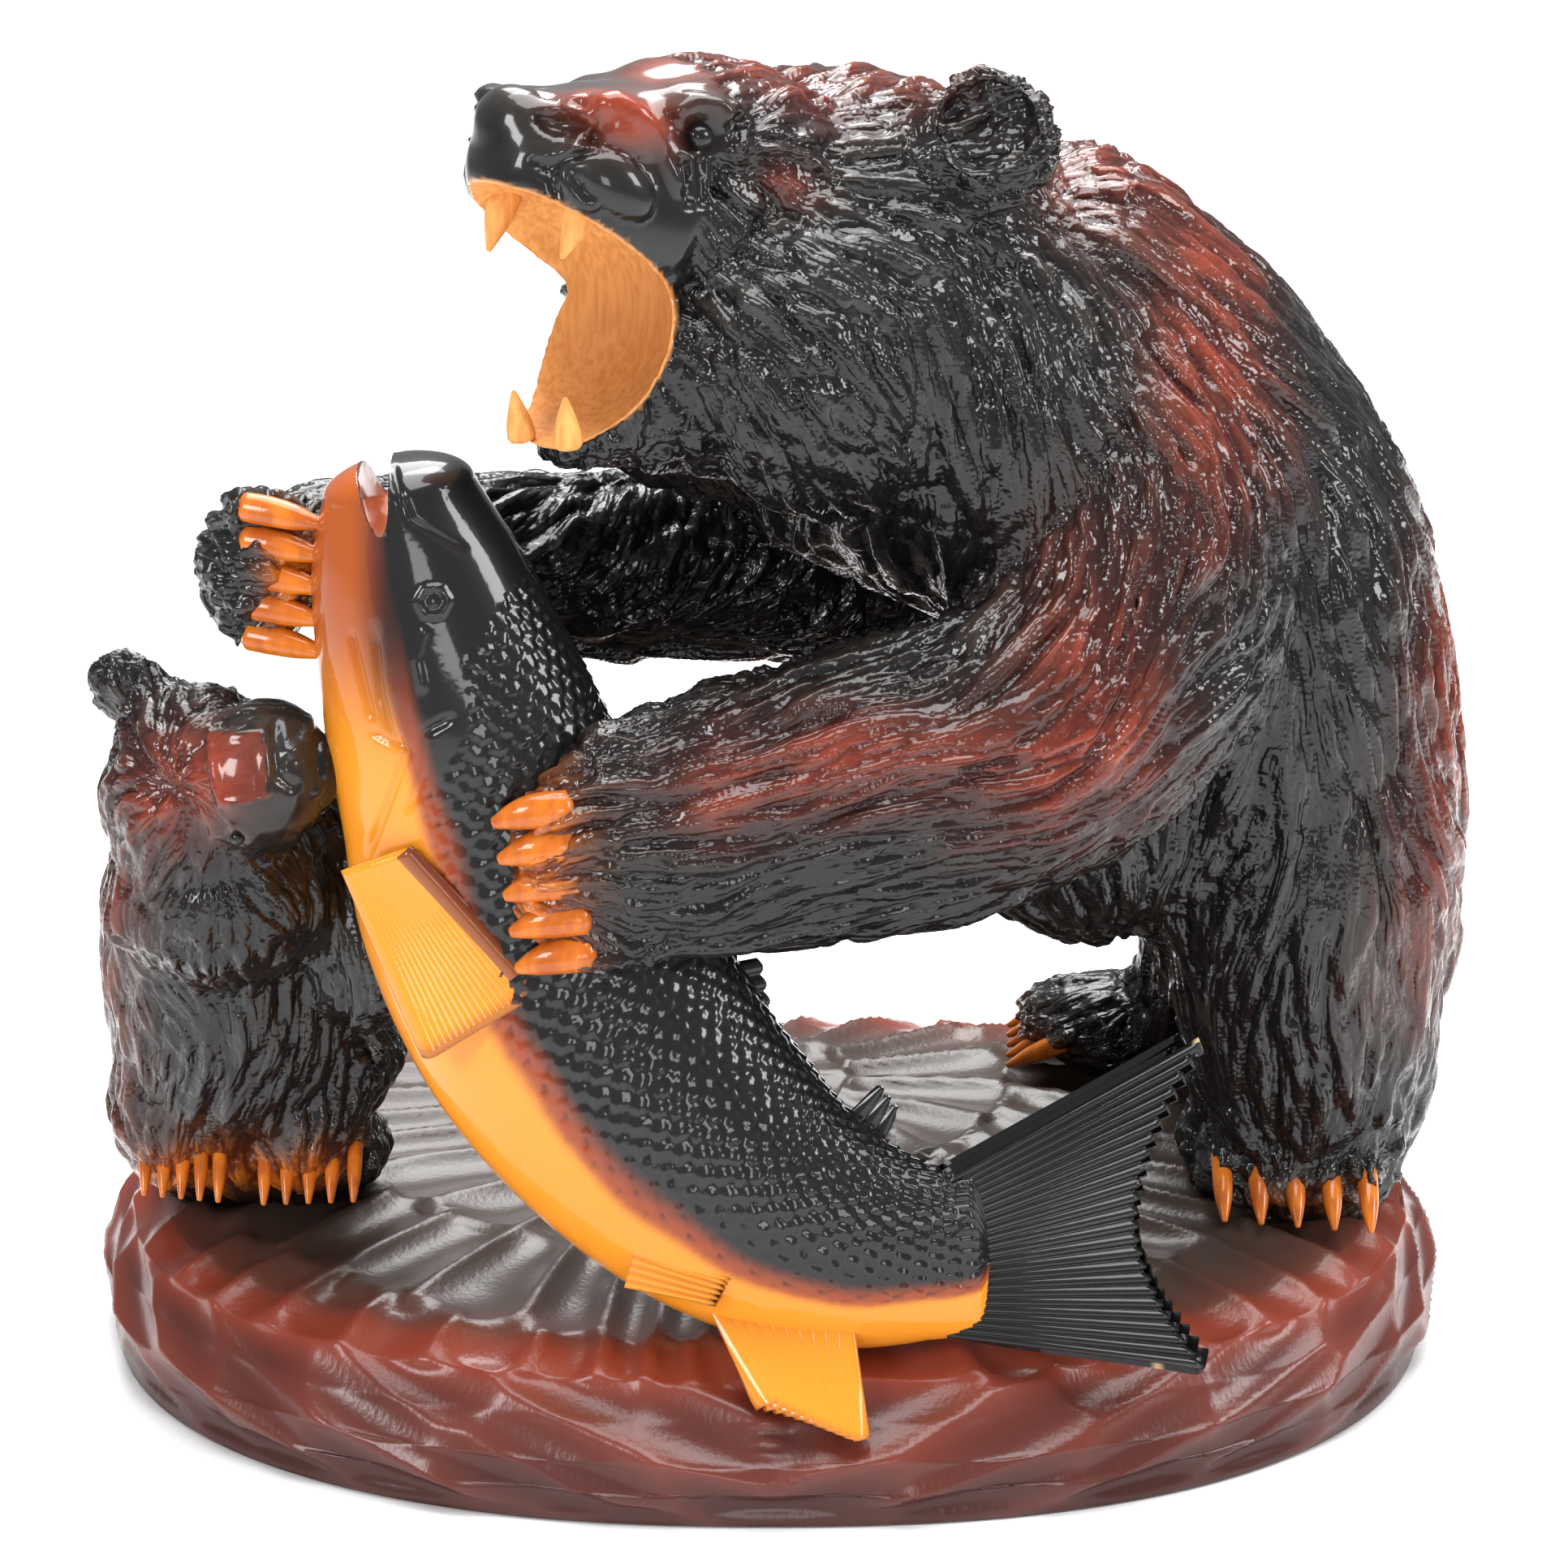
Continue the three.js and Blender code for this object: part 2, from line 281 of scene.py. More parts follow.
@dataclass(frozen=True)
class Pose:
    """A turned place: its first axis points forward, its second to the left, its third up."""

    at: Triple = (0.0, 0.0, 0.0)
    yaw: float = 0.0
    pitch: float = 0.0
    roll: float = 0.0

    @property
    def matrix(self) -> Matrix:
        """The place as a matrix in millimetres.

        Returns:
            Turns and moves this frame into the carving's.
        """
        turn = (
            Matrix.Rotation(math.radians(self.yaw), 4, "Z")
            @ Matrix.Rotation(math.radians(-self.pitch), 4, "Y")
            @ Matrix.Rotation(math.radians(self.roll), 4, "X")
        )
        return Matrix.Translation(self.at) @ turn

    def inside(self, points: np.ndarray) -> np.ndarray:
        """Bring places of the carving's frame into this one."""
        turned = np.array(self.matrix.inverted())
        return points @ turned[:3, :3].T + turned[:3, 3]

    def outside(self, points: np.ndarray) -> np.ndarray:
        """Bring places of this frame into the carving's."""
        turned = np.array(self.matrix)
        return points @ turned[:3, :3].T + turned[:3, 3]

    def way(self, direction: Triple) -> np.ndarray:
        """Turn a direction of this frame into the carving's."""
        return np.array(self.matrix)[:3, :3] @ np.array(direction)


WORLD = Pose()
BALL_SEGMENTS = 36
BALL_RINGS = 22


def ball(at: Triple, radii: Triple, turn: Triple = (0, 0, 0), pose: Pose = WORLD) -> bpy.types.Object:
    """An egg of three radii, turned in its pose's frame.

    Args:
        at: Its middle, in the pose's frame.
        radii: Its three half sizes.
        turn: Its turn about the three axes in radians.
        pose: The frame that it belongs to.

    Returns:
        The new mesh.
    """
    alone()
    bpy.ops.mesh.primitive_uv_sphere_add(segments=BALL_SEGMENTS, ring_count=BALL_RINGS, radius=1.0)
    made = bpy.context.object
    local = Matrix.LocRotScale(Vector(at), Euler(turn), Vector(radii))
    made.data.transform(Matrix.Scale(MM, 4) @ pose.matrix @ local)
    return made


@dataclass
class Sweep:
    """A sphere drawn out along a limb's path, with its own half depth and half width at each station.

    Each station is x, y, z, half depth and half width. The depth is measured towards `facing`.
    """

    stations: list[Station]
    around: int = 32
    rings: int = 40
    facing: Triple = TOWARDS_VIEWER
    dome: float = 0.5
    end_share: float = 0.1
    square: float = 2.0
    pose: Pose = WORLD
    glance: float = 0.004

    def axes(self, t: np.ndarray) -> tuple[np.ndarray, np.ndarray, np.ndarray]:
        """Find the directions of the sections, looking a glance ahead and back along the path.

        Args:
            t: Places along the path, from 0 to 1.

        Returns:
            The path's own direction, the depth's and the width's.
        """
        path = np.array([s[:3] for s in self.stations], float)
        tangent = unit(through(path, t + self.glance) - through(path, t - self.glance))
        deep = unit(np.array(self.facing) - tangent * (tangent @ np.array(self.facing))[:, None])
        return tangent, deep, np.cross(tangent, deep)

    def squared(self, share: np.ndarray) -> np.ndarray:
        """Bend a cosine or sine so that a round section becomes a squarer one."""
        return np.sign(share) * np.abs(share) ** (2.0 / self.square)

    def build(self) -> tuple[bpy.types.Object, np.ndarray, np.ndarray]:
        """Make the mesh.

        Returns:
            The mesh, each vertex's place along the path from 0 to 1, and its angle about it.
        """
        alone()
        bpy.ops.mesh.primitive_uv_sphere_add(segments=self.around, ring_count=self.rings, radius=1.0)
        made = bpy.context.object
        raw = places(made) * MM
        share = np.arccos(np.clip(raw[:, 2], -1.0, 1.0)) / math.pi
        angle = np.arctan2(raw[:, 1], raw[:, 0])
        values = np.array(self.stations, float)
        edge = self.end_share
        t = np.clip((share - edge) / (1.0 - 2.0 * edge), 0.0, 1.0)
        near = np.clip(share / edge, 0.0, 1.0) * math.pi / 2
        far = np.clip((1.0 - share) / edge, 0.0, 1.0) * math.pi / 2
        row = through(values, t)
        tangent, deep, wide = self.axes(t)
        advance = (np.cos(far) * min(values[-1, 3:]) - np.cos(near) * min(values[0, 3:])) * self.dome
        shrink = np.sin(near) * np.sin(far)
        around = deep * (row[:, 3] * shrink * self.squared(np.cos(angle)))[:, None]
        around += wide * (row[:, 4] * shrink * self.squared(np.sin(angle)))[:, None]
        set_places(made, self.pose.outside(row[:, :3] + tangent * advance[:, None] + around))
        return made, t, angle

    def mesh(self) -> bpy.types.Object:
        """Make the mesh alone."""
        return self.build()[0]


def fuse(name: str, parts: list[bpy.types.Object], voxel: float, rounds: int = 4) -> bpy.types.Object:
    """Melt parts into one skin and soften where they meet.

    Args:
        name: The new piece's name.
        parts: Closed meshes that overlap.
        voxel: The skin's grid in millimetres.
        rounds: How often the skin is softened.

    Returns:
        The one piece.
    """
    made = join(name, parts)
    apply(made, "REMESH", mode="VOXEL", voxel_size=voxel * MM, use_smooth_shade=True)
    apply(made, "SMOOTH", factor=0.5, iterations=rounds)
    return made


class Knife(Enum):
    """How carefully a shape is cut out: quickly, or exactly where the skins nearly touch."""

    QUICK = "FAST"
    EXACT = "EXACT"


def cut(piece: bpy.types.Object, cutter: bpy.types.Object, knife: Knife = Knife.QUICK) -> None:
    """Take the cutter's shape out of the piece and remove the cutter."""
    apply(piece, "BOOLEAN", operation="DIFFERENCE", solver=knife.value, object=cutter)
    bpy.data.objects.remove(cutter)


# Carving


@dataclass(frozen=True)
class Guide:
    """A direction that the fur takes at a place, and how far it is felt."""

    at: Triple
    way: Triple
    reach: float = 40.0


@dataclass
class Fur:
    """Hair cut along a flow of directions: locks, and finer strokes on them."""

    guides: list[Guide]
    lock_width: float = 6.4
    lock_reach: float = 29.0
    lock_depth: float = 3.3
    stroke_width: float = 2.9
    stroke_reach: float = 18.0
    stroke_depth: float = 1.4
    crest: float = 1.5
    sunk: float = 0.94
    sway: float = 0.6
    sway_size: float = 34.0
    fine_sway: float = 0.25
    fine_sway_size: float = 15.0
    fade: float = 3.0
    samples: int = 15
    taper: float = 1.3
    lock_share: float = 0.55
    seed: int = 3

    def flow(self, points: np.ndarray, facing: np.ndarray) -> np.ndarray:
        """Lay the hair along the surface.

        Args:
            points: The skin's places.
            facing: The skin's normals.

        Returns:
            A unit direction in the skin for each place.
        """
        total = np.zeros_like(points)
        for guide in self.guides:
            gap = np.linalg.norm(points - np.array(guide.at), axis=1) / guide.reach
            total += np.exp(-self.fade * gap)[:, None] * unit(np.array(guide.way, float)[None, :])
        way = unit(total - facing * np.sum(total * facing, axis=1)[:, None])
        turn = self.sway * soft_noise(points, self.sway_size, self.seed)
        turn += self.fine_sway * self.sway * soft_noise(points, self.fine_sway_size, self.seed + 1)
        across = np.cross(facing, way)
        return unit(way * np.cos(turn)[:, None] + across * np.sin(turn)[:, None])

    def strands(
        self, points: np.ndarray, way: np.ndarray, width: float, reach: float, seed: int,
    ) -> np.ndarray:
        """Smear noise along the flow into long cuts.

        Args:
            points: The skin's places.
            way: The flow there.
            width: How wide one cut is.
            reach: How far a cut runs each way.
            seed: Which cuts.

        Returns:
            A height for each place, 0 in the creases and 1 on the backs of the locks.
        """
        total = np.zeros(len(points))
        for place in np.linspace(-1.0, 1.0, self.samples):
            total += math.cos(place * self.taper) * soft_noise(points + way * (place * reach), width, seed)
        total /= total.std()
        return np.minimum(np.abs(total), self.crest) / self.crest

    def carve(self, piece: bpy.types.Object, depth: np.ndarray, raised: np.ndarray | float = 0.0) -> None:
        """Cut the hair into a skin and store what its finish needs.

        Args:
            piece: The skin.
            depth: How much of the full depth is cut at each place.
            raised: Other relief to raise there, in millimetres.
        """
        points, facing = places(piece), normals(piece)
        way = self.flow(points, facing)
        locks = self.strands(points, way, self.lock_width, self.lock_reach, self.seed + 2)
        strokes = self.strands(points, way, self.stroke_width, self.stroke_reach, self.seed + 3)
        relief = self.lock_depth * (locks - self.sunk) + self.stroke_depth * (strokes - self.sunk)
        set_places(piece, points + facing * (relief * depth + raised)[:, None])
        keep(piece, "hair_way", way)
        height = self.lock_share * locks + (1.0 - self.lock_share) * strokes
        keep(piece, "hair_height", 1.0 - depth + depth * height)
        keep(piece, "hair_depth", depth)


@dataclass(frozen=True)
class Line:
    """A line cut or raised on a flank, drawn in a side view."""

    points: tuple[tuple[float, float], ...]
    width: float
    height: float
    run_out: float = 0.12

    def relief(self, side_view: np.ndarray) -> np.ndarray:
        """Work out the line's height. It runs out at both ends, unless it closes on itself.

        Args:
            side_view: Places in the side view, in millimetres.

        Returns:
            A height for each place.
        """
        gap, where = distance_to_line(side_view, np.array(self.points, float))
        taper = smooth_step(where, 0.0, self.run_out) * smooth_step(1.0 - where, 0.0, self.run_out)
        if self.points[0] == self.points[-1]:
            taper = np.ones_like(taper)
        return self.height * smooth_step(1.0 - gap / self.width, 0.0, 1.0) * taper


@dataclass(frozen=True)
class Swell:
    """A round swelling or hollow in a side view."""

    at: tuple[float, float]
    radii: tuple[float, float]
    height: float
    lean: float = 0.0

    def relief(self, side_view: np.ndarray) -> np.ndarray:
        """Give the swelling's height at places of the side view.

        Args:
            side_view: Places in the side view, in millimetres.

        Returns:
            A height for each place.
        """
        c, s = math.cos(self.lean), math.sin(self.lean)
        d = side_view - np.array(self.at)
        along = (d[:, 0] * c + d[:, 1] * s) / self.radii[0]
        across = (-d[:, 0] * s + d[:, 1] * c) / self.radii[1]
        return self.height * np.sqrt(np.clip(1.0 - along * along - across * across, 0.0, 1.0))


def relief_of(forms: tuple[Line | Swell, ...], side_view: np.ndarray) -> np.ndarray:
    """Add up the heights of lines and swellings at places of a side view.

    Args:
        forms: The lines and swellings.
        side_view: Places in the side view, in millimetres.

    Returns:
        A height for each place.
    """
    total = np.zeros(len(side_view))
    for form in forms:
        total += form.relief(side_view)
    return total


@dataclass(frozen=True)
class Spray:
    """A cloud of stain: where it was aimed, how far it fades out, and the frame it is told in."""

    at: Triple
    reach: Triple
    strength: float = 1.0
    pose: Pose = WORLD

    def amount(self, points: np.ndarray) -> np.ndarray:
        """Give how much of the stain lands at each place."""
        q = (self.pose.inside(points) - np.array(self.at)) / np.array(self.reach)
        return self.strength * np.exp(-np.sum(q * q, axis=1))


PATCH_SIZE = 16.0
PATCH_SEED = 31


def sprayed(points: np.ndarray, sprays: list[Spray], patchy: float = 0.0) -> np.ndarray:
    """Add the clouds up, to at most 1.

    Args:
        points: The places.
        sprays: The clouds.
        patchy: How unevenly the stain took.

    Returns:
        How much stain each place has.
    """
    total = np.zeros(len(points))
    for spray in sprays:
        total += spray.amount(points)
    return np.clip(total * (1.0 + patchy * soft_noise(points, PATCH_SIZE, PATCH_SEED)), 0.0, 1.0)


# Finishes


class Nodes:
    """Builds one finish's nodes."""

    def __init__(self, name: str) -> None:
        """Start a finish with a bare shader.

        Args:
            name: The finish's name.
        """
        self.material = bpy.data.materials.new(name)
        self.material.use_nodes = True
        self.tree = self.material.node_tree
        self.shader = self.tree.nodes["Principled BSDF"]

    def add(self, kind: str, **settings: object) -> bpy.types.Node:
        """Add a node and set its properties.

        Args:
            kind: Which node.
            settings: The node's own properties.

        Returns:
            The node.
        """
        made = self.tree.nodes.new(kind)
        for key, value in settings.items():
            setattr(made, key, value)
        return made

    def feed(self, source: object, target: bpy.types.NodeSocket) -> None:
        """Link an output, or write a plain value, into an input.

        Args:
            source: The output or the value.
            target: The input.
        """
        if isinstance(source, bpy.types.NodeSocket):
            self.tree.links.new(source, target)
        else:
            target.default_value = source

    def math(self, operation: str, *inputs: object) -> bpy.types.NodeSocket:
        """A sum, product or other working of numbers.

        Args:
            operation: Which working.
            inputs: Outputs or plain numbers, in order.

        Returns:
            The result.
        """
        made = self.add("ShaderNodeMath", operation=operation)
        for socket, source in zip(made.inputs, inputs):
            self.feed(source, socket)
        return made.outputs[0]

    def shifted(
        self, where: bpy.types.NodeSocket, way: bpy.types.NodeSocket, step: float,
    ) -> bpy.types.NodeSocket:
        """Move a place along a direction.

        Args:
            where: The place.
            way: The direction.
            step: How far, in metres.

        Returns:
            The place moved.
        """
        scaled = self.add("ShaderNodeVectorMath", operation="SCALE")
        self.feed(way, scaled.inputs[0])
        scaled.inputs["Scale"].default_value = step
        moved = self.add("ShaderNodeVectorMath", operation="ADD")
        self.feed(where, moved.inputs[0])
        self.feed(scaled.outputs[0], moved.inputs[1])
        return moved.outputs[0]

    def mix(self, share: object, first: object, second: object) -> bpy.types.NodeSocket:
        """Mix two colours.

        Args:
            share: How much of the second, from 0 to 1.
            first: The first colour.
            second: The second colour.

        Returns:
            The mixed colour.
        """
        made = self.add("ShaderNodeMix", data_type="RGBA")
        self.feed(share, made.inputs[0])
        self.feed(first, made.inputs[6])
        self.feed(second, made.inputs[7])
        return made.outputs[2]

    def read(self, name: str, form: str = "Fac") -> bpy.types.NodeSocket:
        """Read what was stored on the vertices."""
        return self.add("ShaderNodeAttribute", attribute_name=name).outputs[form]

    def place(self) -> bpy.types.NodeSocket:
        """The piece's own coordinates."""
        return self.add("ShaderNodeTexCoord").outputs["Object"]

    def noise(self, where: bpy.types.NodeSocket, size: float, detail: float = 2.0) -> bpy.types.NodeSocket:
        """Noise with blobs of a size in millimetres.

        Args:
            where: The place.
            size: How wide one blob is, in millimetres.
            detail: How much finer noise is added.

        Returns:
            A number from 0 to 1.
        """
        made = self.add("ShaderNodeTexNoise")
        self.feed(where, made.inputs["Vector"])
        made.inputs["Scale"].default_value = 1.0 / (size * MM)
        made.inputs["Detail"].default_value = detail
        return made.outputs["Fac"]

    def ramp(self, share: bpy.types.NodeSocket, low: float, high: float) -> bpy.types.NodeSocket:
        """Stretch a number so that low becomes 0 and high becomes 1.

        Args:
            share: The number.
            low: What becomes 0.
            high: What becomes 1.

        Returns:
            The stretched number.
        """
        made = self.add("ShaderNodeMapRange", interpolation_type="SMOOTHSTEP")
        self.feed(share, made.inputs["Value"])
        made.inputs["From Min"].default_value = low
        made.inputs["From Max"].default_value = high
        return made.outputs["Result"]

    def bump(self, height: bpy.types.NodeSocket, depth: float, strength: float = 1.0) -> None:
        """Raise the surface by a height between 0 and 1 times a depth in millimetres.

        Args:
            height: The height, from 0 to 1.
            depth: How far a height of 1 stands up, in millimetres.
            strength: How much of it is felt.
        """
        made = self.add("ShaderNodeBump")
        made.inputs["Strength"].default_value = strength
        made.inputs["Distance"].default_value = depth * MM
        self.feed(height, made.inputs["Height"])
        self.feed(made.outputs["Normal"], self.shader.inputs["Normal"])
        if self.shader.inputs["Coat Weight"].default_value > 0:
            self.feed(made.outputs["Normal"], self.shader.inputs["Coat Normal"])


def rgb(red: float, green: float, blue: float) -> tuple[float, float, float, float]:
    """A colour with full cover."""
    return (red, green, blue, 1.0)


@dataclass(frozen=True)
class Lacquer:
    """How the clear coat over the stain shines."""

    coat: float = 1.0
    coat_roughness: float = 0.1
    coat_ior: float = 1.38
    roughness: float = 0.4
    specular: float = 0.12

    def lay(self, nodes: Nodes) -> None:
        """Put the coat on a finish.

        Args:
            nodes: The finish's nodes.
        """
        nodes.shader.inputs["Roughness"].default_value = self.roughness
        nodes.shader.inputs["Coat Weight"].default_value = self.coat
        nodes.shader.inputs["Coat Roughness"].default_value = self.coat_roughness
        nodes.shader.inputs["Coat IOR"].default_value = self.coat_ior
        nodes.shader.inputs["Specular IOR Level"].default_value = self.specular


@dataclass(frozen=True)
class StainedFur:
    """Black stain with clouds of red-brown and orange over carved hair, under gloss lacquer, with painted
    sheen on the hair's upward backs and painted shade in its creases.
    """

    black: tuple = rgb(0.0035, 0.0033, 0.0035)
    # ridge: a lighter grey copy of the black, painted sheen on the backs of the hair.
    ridge: tuple = rgb(0.024, 0.022, 0.019)
    red: tuple = rgb(0.235, 0.036, 0.016)
    # A darker copy of the red: painted shade in the hair's creases.
    crease_shade_red: tuple = rgb(0.060, 0.009, 0.005)
    orange: tuple = rgb(0.66, 0.17, 0.012)
    # A darker copy of the orange: painted shade in the hair's creases.
    crease_shade_orange: tuple = rgb(0.13, 0.022, 0.005)
    lip: tuple = rgb(0.60, 0.25, 0.07)
    stroke: float = 2.7
    step: float = 2.0
    steps: int = 9
    depth: float = 0.38
    contrast: float = 10.0
    hair_share: float = 0.5
    # Hair height at which the painted crease shade is full and the painted sheen is gone.
    crease_shade: float = 0.35
    crest: float = 1.35

    def hair(self, nodes: Nodes) -> bpy.types.NodeSocket:
        """Draw fine strokes: noise smeared along the flow stored on the skin.

        Args:
            nodes: The finish's nodes.

        Returns:
            A height from 0 between the strokes to 1 on them.
        """
        where = nodes.place()
        way = nodes.read("hair_way", "Vector")
        total = None
        for k in range(self.steps):
            along = (k - (self.steps - 1) / 2) * self.step * MM
            sample = nodes.noise(nodes.shifted(where, way, along), self.stroke, 0.0)
            total = sample if total is None else nodes.math("ADD", total, sample)
        mean = nodes.math("DIVIDE", total, float(self.steps))
        swing = nodes.math("ABSOLUTE", nodes.math("SUBTRACT", mean, 0.5))
        return nodes.math("MINIMUM", nodes.math("MULTIPLY", swing, self.contrast), 1.0)

    def make(self, name: str) -> bpy.types.Material:
        """Build the finish.

        Args:
            name: The finish's name.

        Returns:
            The material.
        """
        nodes = Nodes(name)
        Lacquer().lay(nodes)
        hair = self.hair(nodes)
        height = nodes.read("hair_height")
        raised = nodes.math("ADD", height, nodes.math("MULTIPLY", hair, self.hair_share))
        top = nodes.ramp(raised, self.crease_shade, self.crest)
        # Painted sheen: the black lightens towards the ridge colour on the hair's backs, by the stored sheen
        # share.
        painted_sheen = nodes.math("MULTIPLY", top, nodes.read("painted_sheen"))
        base = nodes.mix(painted_sheen, self.black, self.ridge)
        # Painted shade: the red and orange stains darken to their shaded copies in the hair's creases.
        reddened = nodes.mix(nodes.read("red"), base, nodes.mix(top, self.crease_shade_red, self.red))
        stained = nodes.mix(nodes.read("orange"), reddened, nodes.mix(top, self.crease_shade_orange, self.orange))
        nodes.feed(nodes.mix(nodes.read("bare"), stained, self.lip), nodes.shader.inputs["Base Color"])
        nodes.bump(nodes.math("MULTIPLY", hair, nodes.read("hair_depth")), self.depth)
        return nodes.material


@dataclass(frozen=True)
class BareWood:
    """Pale wood with its grain, oiled or under a coat, darkened by painted shade where a piece stores a deep
    share, as in the mouth towards the throat.
    """

    light: tuple = rgb(0.78, 0.37, 0.115)
    dark: tuple = rgb(0.62, 0.26, 0.072)
    # deep: a dark copy of the wood, painted shade towards the throat.
    deep: tuple = rgb(0.22, 0.060, 0.014)
    roughness: float = 0.6
    coat: float = 0.0
    grain: float = 1.8
    grain_stretch: float = 0.14
    grain_turn: Triple = (0.4, 0.5, 0.0)
    grain_share: float = 0.7
    cloud: float = 22.0
    depth: float = 0.25

    def make(self, name: str) -> bpy.types.Material:
        """Build the finish.

        Args:
            name: The finish's name.

        Returns:
            The material.
        """
        nodes = Nodes(name)
        Lacquer(coat=self.coat, roughness=self.roughness).lay(nodes)
        where = nodes.place()
        stretch = nodes.add("ShaderNodeMapping")
        stretch.inputs["Scale"].default_value = (1.0, 1.0, self.grain_stretch)
        stretch.inputs["Rotation"].default_value = self.grain_turn
        nodes.feed(where, stretch.inputs["Vector"])
        grain = nodes.noise(stretch.outputs["Vector"], self.grain, 4.0)
        clouded = nodes.math("MULTIPLY", nodes.noise(where, self.cloud, 2.0), 1.0 - self.grain_share)
        blend = nodes.math("ADD", nodes.math("MULTIPLY", grain, self.grain_share), clouded)
        colour = nodes.mix(nodes.ramp(blend, 0.36, 0.62), self.dark, self.light)
        # Painted shade: the wood darkens towards the deep colour by the stored deep share.
        nodes.feed(nodes.mix(nodes.read("deep"), colour, self.deep), nodes.shader.inputs["Base Color"])
        nodes.bump(grain, self.depth, 0.5)
        return nodes.material


CLAW_STAIN = BareWood(
    light=rgb(0.62, 0.165, 0.012), dark=rgb(0.42, 0.09, 0.008), coat=1.0, roughness=0.4, grain=5.0,
)


@dataclass(frozen=True)
class StainedFish:
    """Orange belly, red-brown flank and black back, fading into each other, with painted shade in the creases
    of the scales and fins.
    """

    orange: tuple = rgb(0.80, 0.275, 0.018)
    brown: tuple = rgb(0.30, 0.050, 0.010)
    black: tuple = rgb(0.008, 0.008, 0.0085)
    # Near black: painted shade in the creases at the scales' roots and between the fin rays.
    crease_shade: tuple = rgb(0.003, 0.0025, 0.0025)
    pale: tuple = rgb(0.70, 0.48, 0.24)
    waves: float = 9.0
    depth: float = 0.4

    def make(self, name: str) -> bpy.types.Material:
        """Build the finish.

        Args:
            name: The finish's name.

        Returns:
            The material.
        """
        nodes = Nodes(name)
        Lacquer(coat_roughness=0.08).lay(nodes)
        warm = nodes.mix(nodes.read("red"), self.orange, self.brown)
        dark = nodes.mix(nodes.read("dark"), warm, self.black)
        # Painted shade in the creases of the scales and fins.
        edge = nodes.mix(nodes.read("crease_shade"), dark, self.crease_shade)
        nodes.feed(nodes.mix(nodes.read("chip"), edge, self.pale), nodes.shader.inputs["Base Color"])
        nodes.bump(nodes.noise(nodes.place(), self.waves, 3.0), self.depth, 0.3)
        return nodes.material


@dataclass(frozen=True)
class StainedRock:
    """Red-brown gouge cuts on the sides, grey-black on top; painted shade darkens the middle of each side
    hollow, and the sides are darker towards the bottom.
    """

    red: tuple = rgb(0.170, 0.032, 0.020)
    # dark: a darker copy of the red, painted shade in the hollows and the darker bottom of the sides.
    dark: tuple = rgb(0.052, 0.010, 0.007)
    rim: tuple = rgb(0.230, 0.036, 0.016)
    grey: tuple = rgb(0.046, 0.036, 0.028)
    grain: float = 1.6
    grain_stretch: float = 0.12
    depth: float = 0.35

    def make(self, name: str) -> bpy.types.Material:
        """Build the finish.

        Args:
            name: The finish's name.

        Returns:
            The material.
        """
        nodes = Nodes(name)
        Lacquer(coat_roughness=0.26, roughness=0.5).lay(nodes)
        # Painted shade in the side hollows, with the sides darker towards the bottom.
        side = nodes.mix(nodes.read("hollow"), self.red, self.dark)
        rim = nodes.mix(nodes.read("rim"), side, self.rim)
        nodes.feed(nodes.mix(nodes.read("grey"), rim, self.grey), nodes.shader.inputs["Base Color"])
        stretch = nodes.add("ShaderNodeMapping")
        stretch.inputs["Scale"].default_value = (1.0, 1.0, self.grain_stretch)
        nodes.feed(nodes.place(), stretch.inputs["Vector"])
        nodes.bump(nodes.noise(stretch.outputs["Vector"], self.grain, 2.0), self.depth, 0.35)
        return nodes.material


@dataclass(frozen=True)
class Polish:
    """One smooth stained part, such as an eye or a nose."""

    colour: tuple = rgb(0.006, 0.006, 0.007)
    coat_roughness: float = 0.05
    shading: float = 0.55

    def make(self, name: str) -> bpy.types.Material:
        """Build the finish.

        Args:
            name: The finish's name.

        Returns:
            The material.
        """
        nodes = Nodes(name)
        Lacquer(coat_roughness=self.coat_roughness).lay(nodes)
        shade = nodes.ramp(nodes.noise(nodes.place(), 6.0, 2.0), 0.3, 0.7)
        darker = rgb(*(c * self.shading for c in self.colour[:3]))
        nodes.feed(nodes.mix(shade, darker, self.colour), nodes.shader.inputs["Base Color"])
        return nodes.material


def dress(piece: bpy.types.Object, finish: bpy.types.Material) -> bpy.types.Object:
    """Give a piece its finish and tie it to the carving.

    Args:
        piece: The piece.
        finish: Its only material.

    Returns:
        The same piece.
    """
    count = len(piece.data.polygons)
    piece.data.materials.clear()
    piece.data.materials.append(finish)
    piece.data.polygons.foreach_set("material_index", np.zeros(count, np.int32))
    piece.data.polygons.foreach_set("use_smooth", np.ones(count, bool))
    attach(piece, BODY)
    LOG.info("%s: %d faces", piece.name, count)
    return piece


def middles(piece: bpy.types.Object) -> np.ndarray:
    """Read the middle of each face in millimetres.

    Args:
        piece: The mesh.

    Returns:
        One place for each face.
    """
    found = np.empty(len(piece.data.polygons) * 3, np.float32)
    piece.data.polygons.foreach_get("center", found)
    return found.reshape(-1, 3).astype(float) / MM


def split_off(piece: bpy.types.Object, name: str, taken: np.ndarray) -> bpy.types.Object:
    """Part faces of a piece off as a piece of their own.

    Args:
        piece: The mesh to part.
        name: The new piece's name.
        taken: For each face, whether it goes to the new piece.

    Returns:
        The new piece.
    """
    pick(piece)
    bpy.ops.object.mode_set(mode="EDIT")
    bpy.ops.mesh.select_mode(type="FACE")
    bpy.ops.mesh.select_all(action="DESELECT")
    bpy.ops.object.mode_set(mode="OBJECT")
    piece.data.polygons.foreach_set("select", taken)
    bpy.ops.object.mode_set(mode="EDIT")
    bpy.ops.mesh.separate(type="SELECTED")
    bpy.ops.object.mode_set(mode="OBJECT")
    made = next(o for o in bpy.context.selected_objects if o is not piece)
    made.name = name
    made.data.name = name
    return made


# Toes


def spaced(first: Triple, last: Triple, count: int) -> list[np.ndarray]:
    """Places from first to last, evenly spaced."""
    start, reach = np.array(first, float), np.array(last, float) - np.array(first, float)
    return [start + reach * i / (count - 1) for i in range(count)]


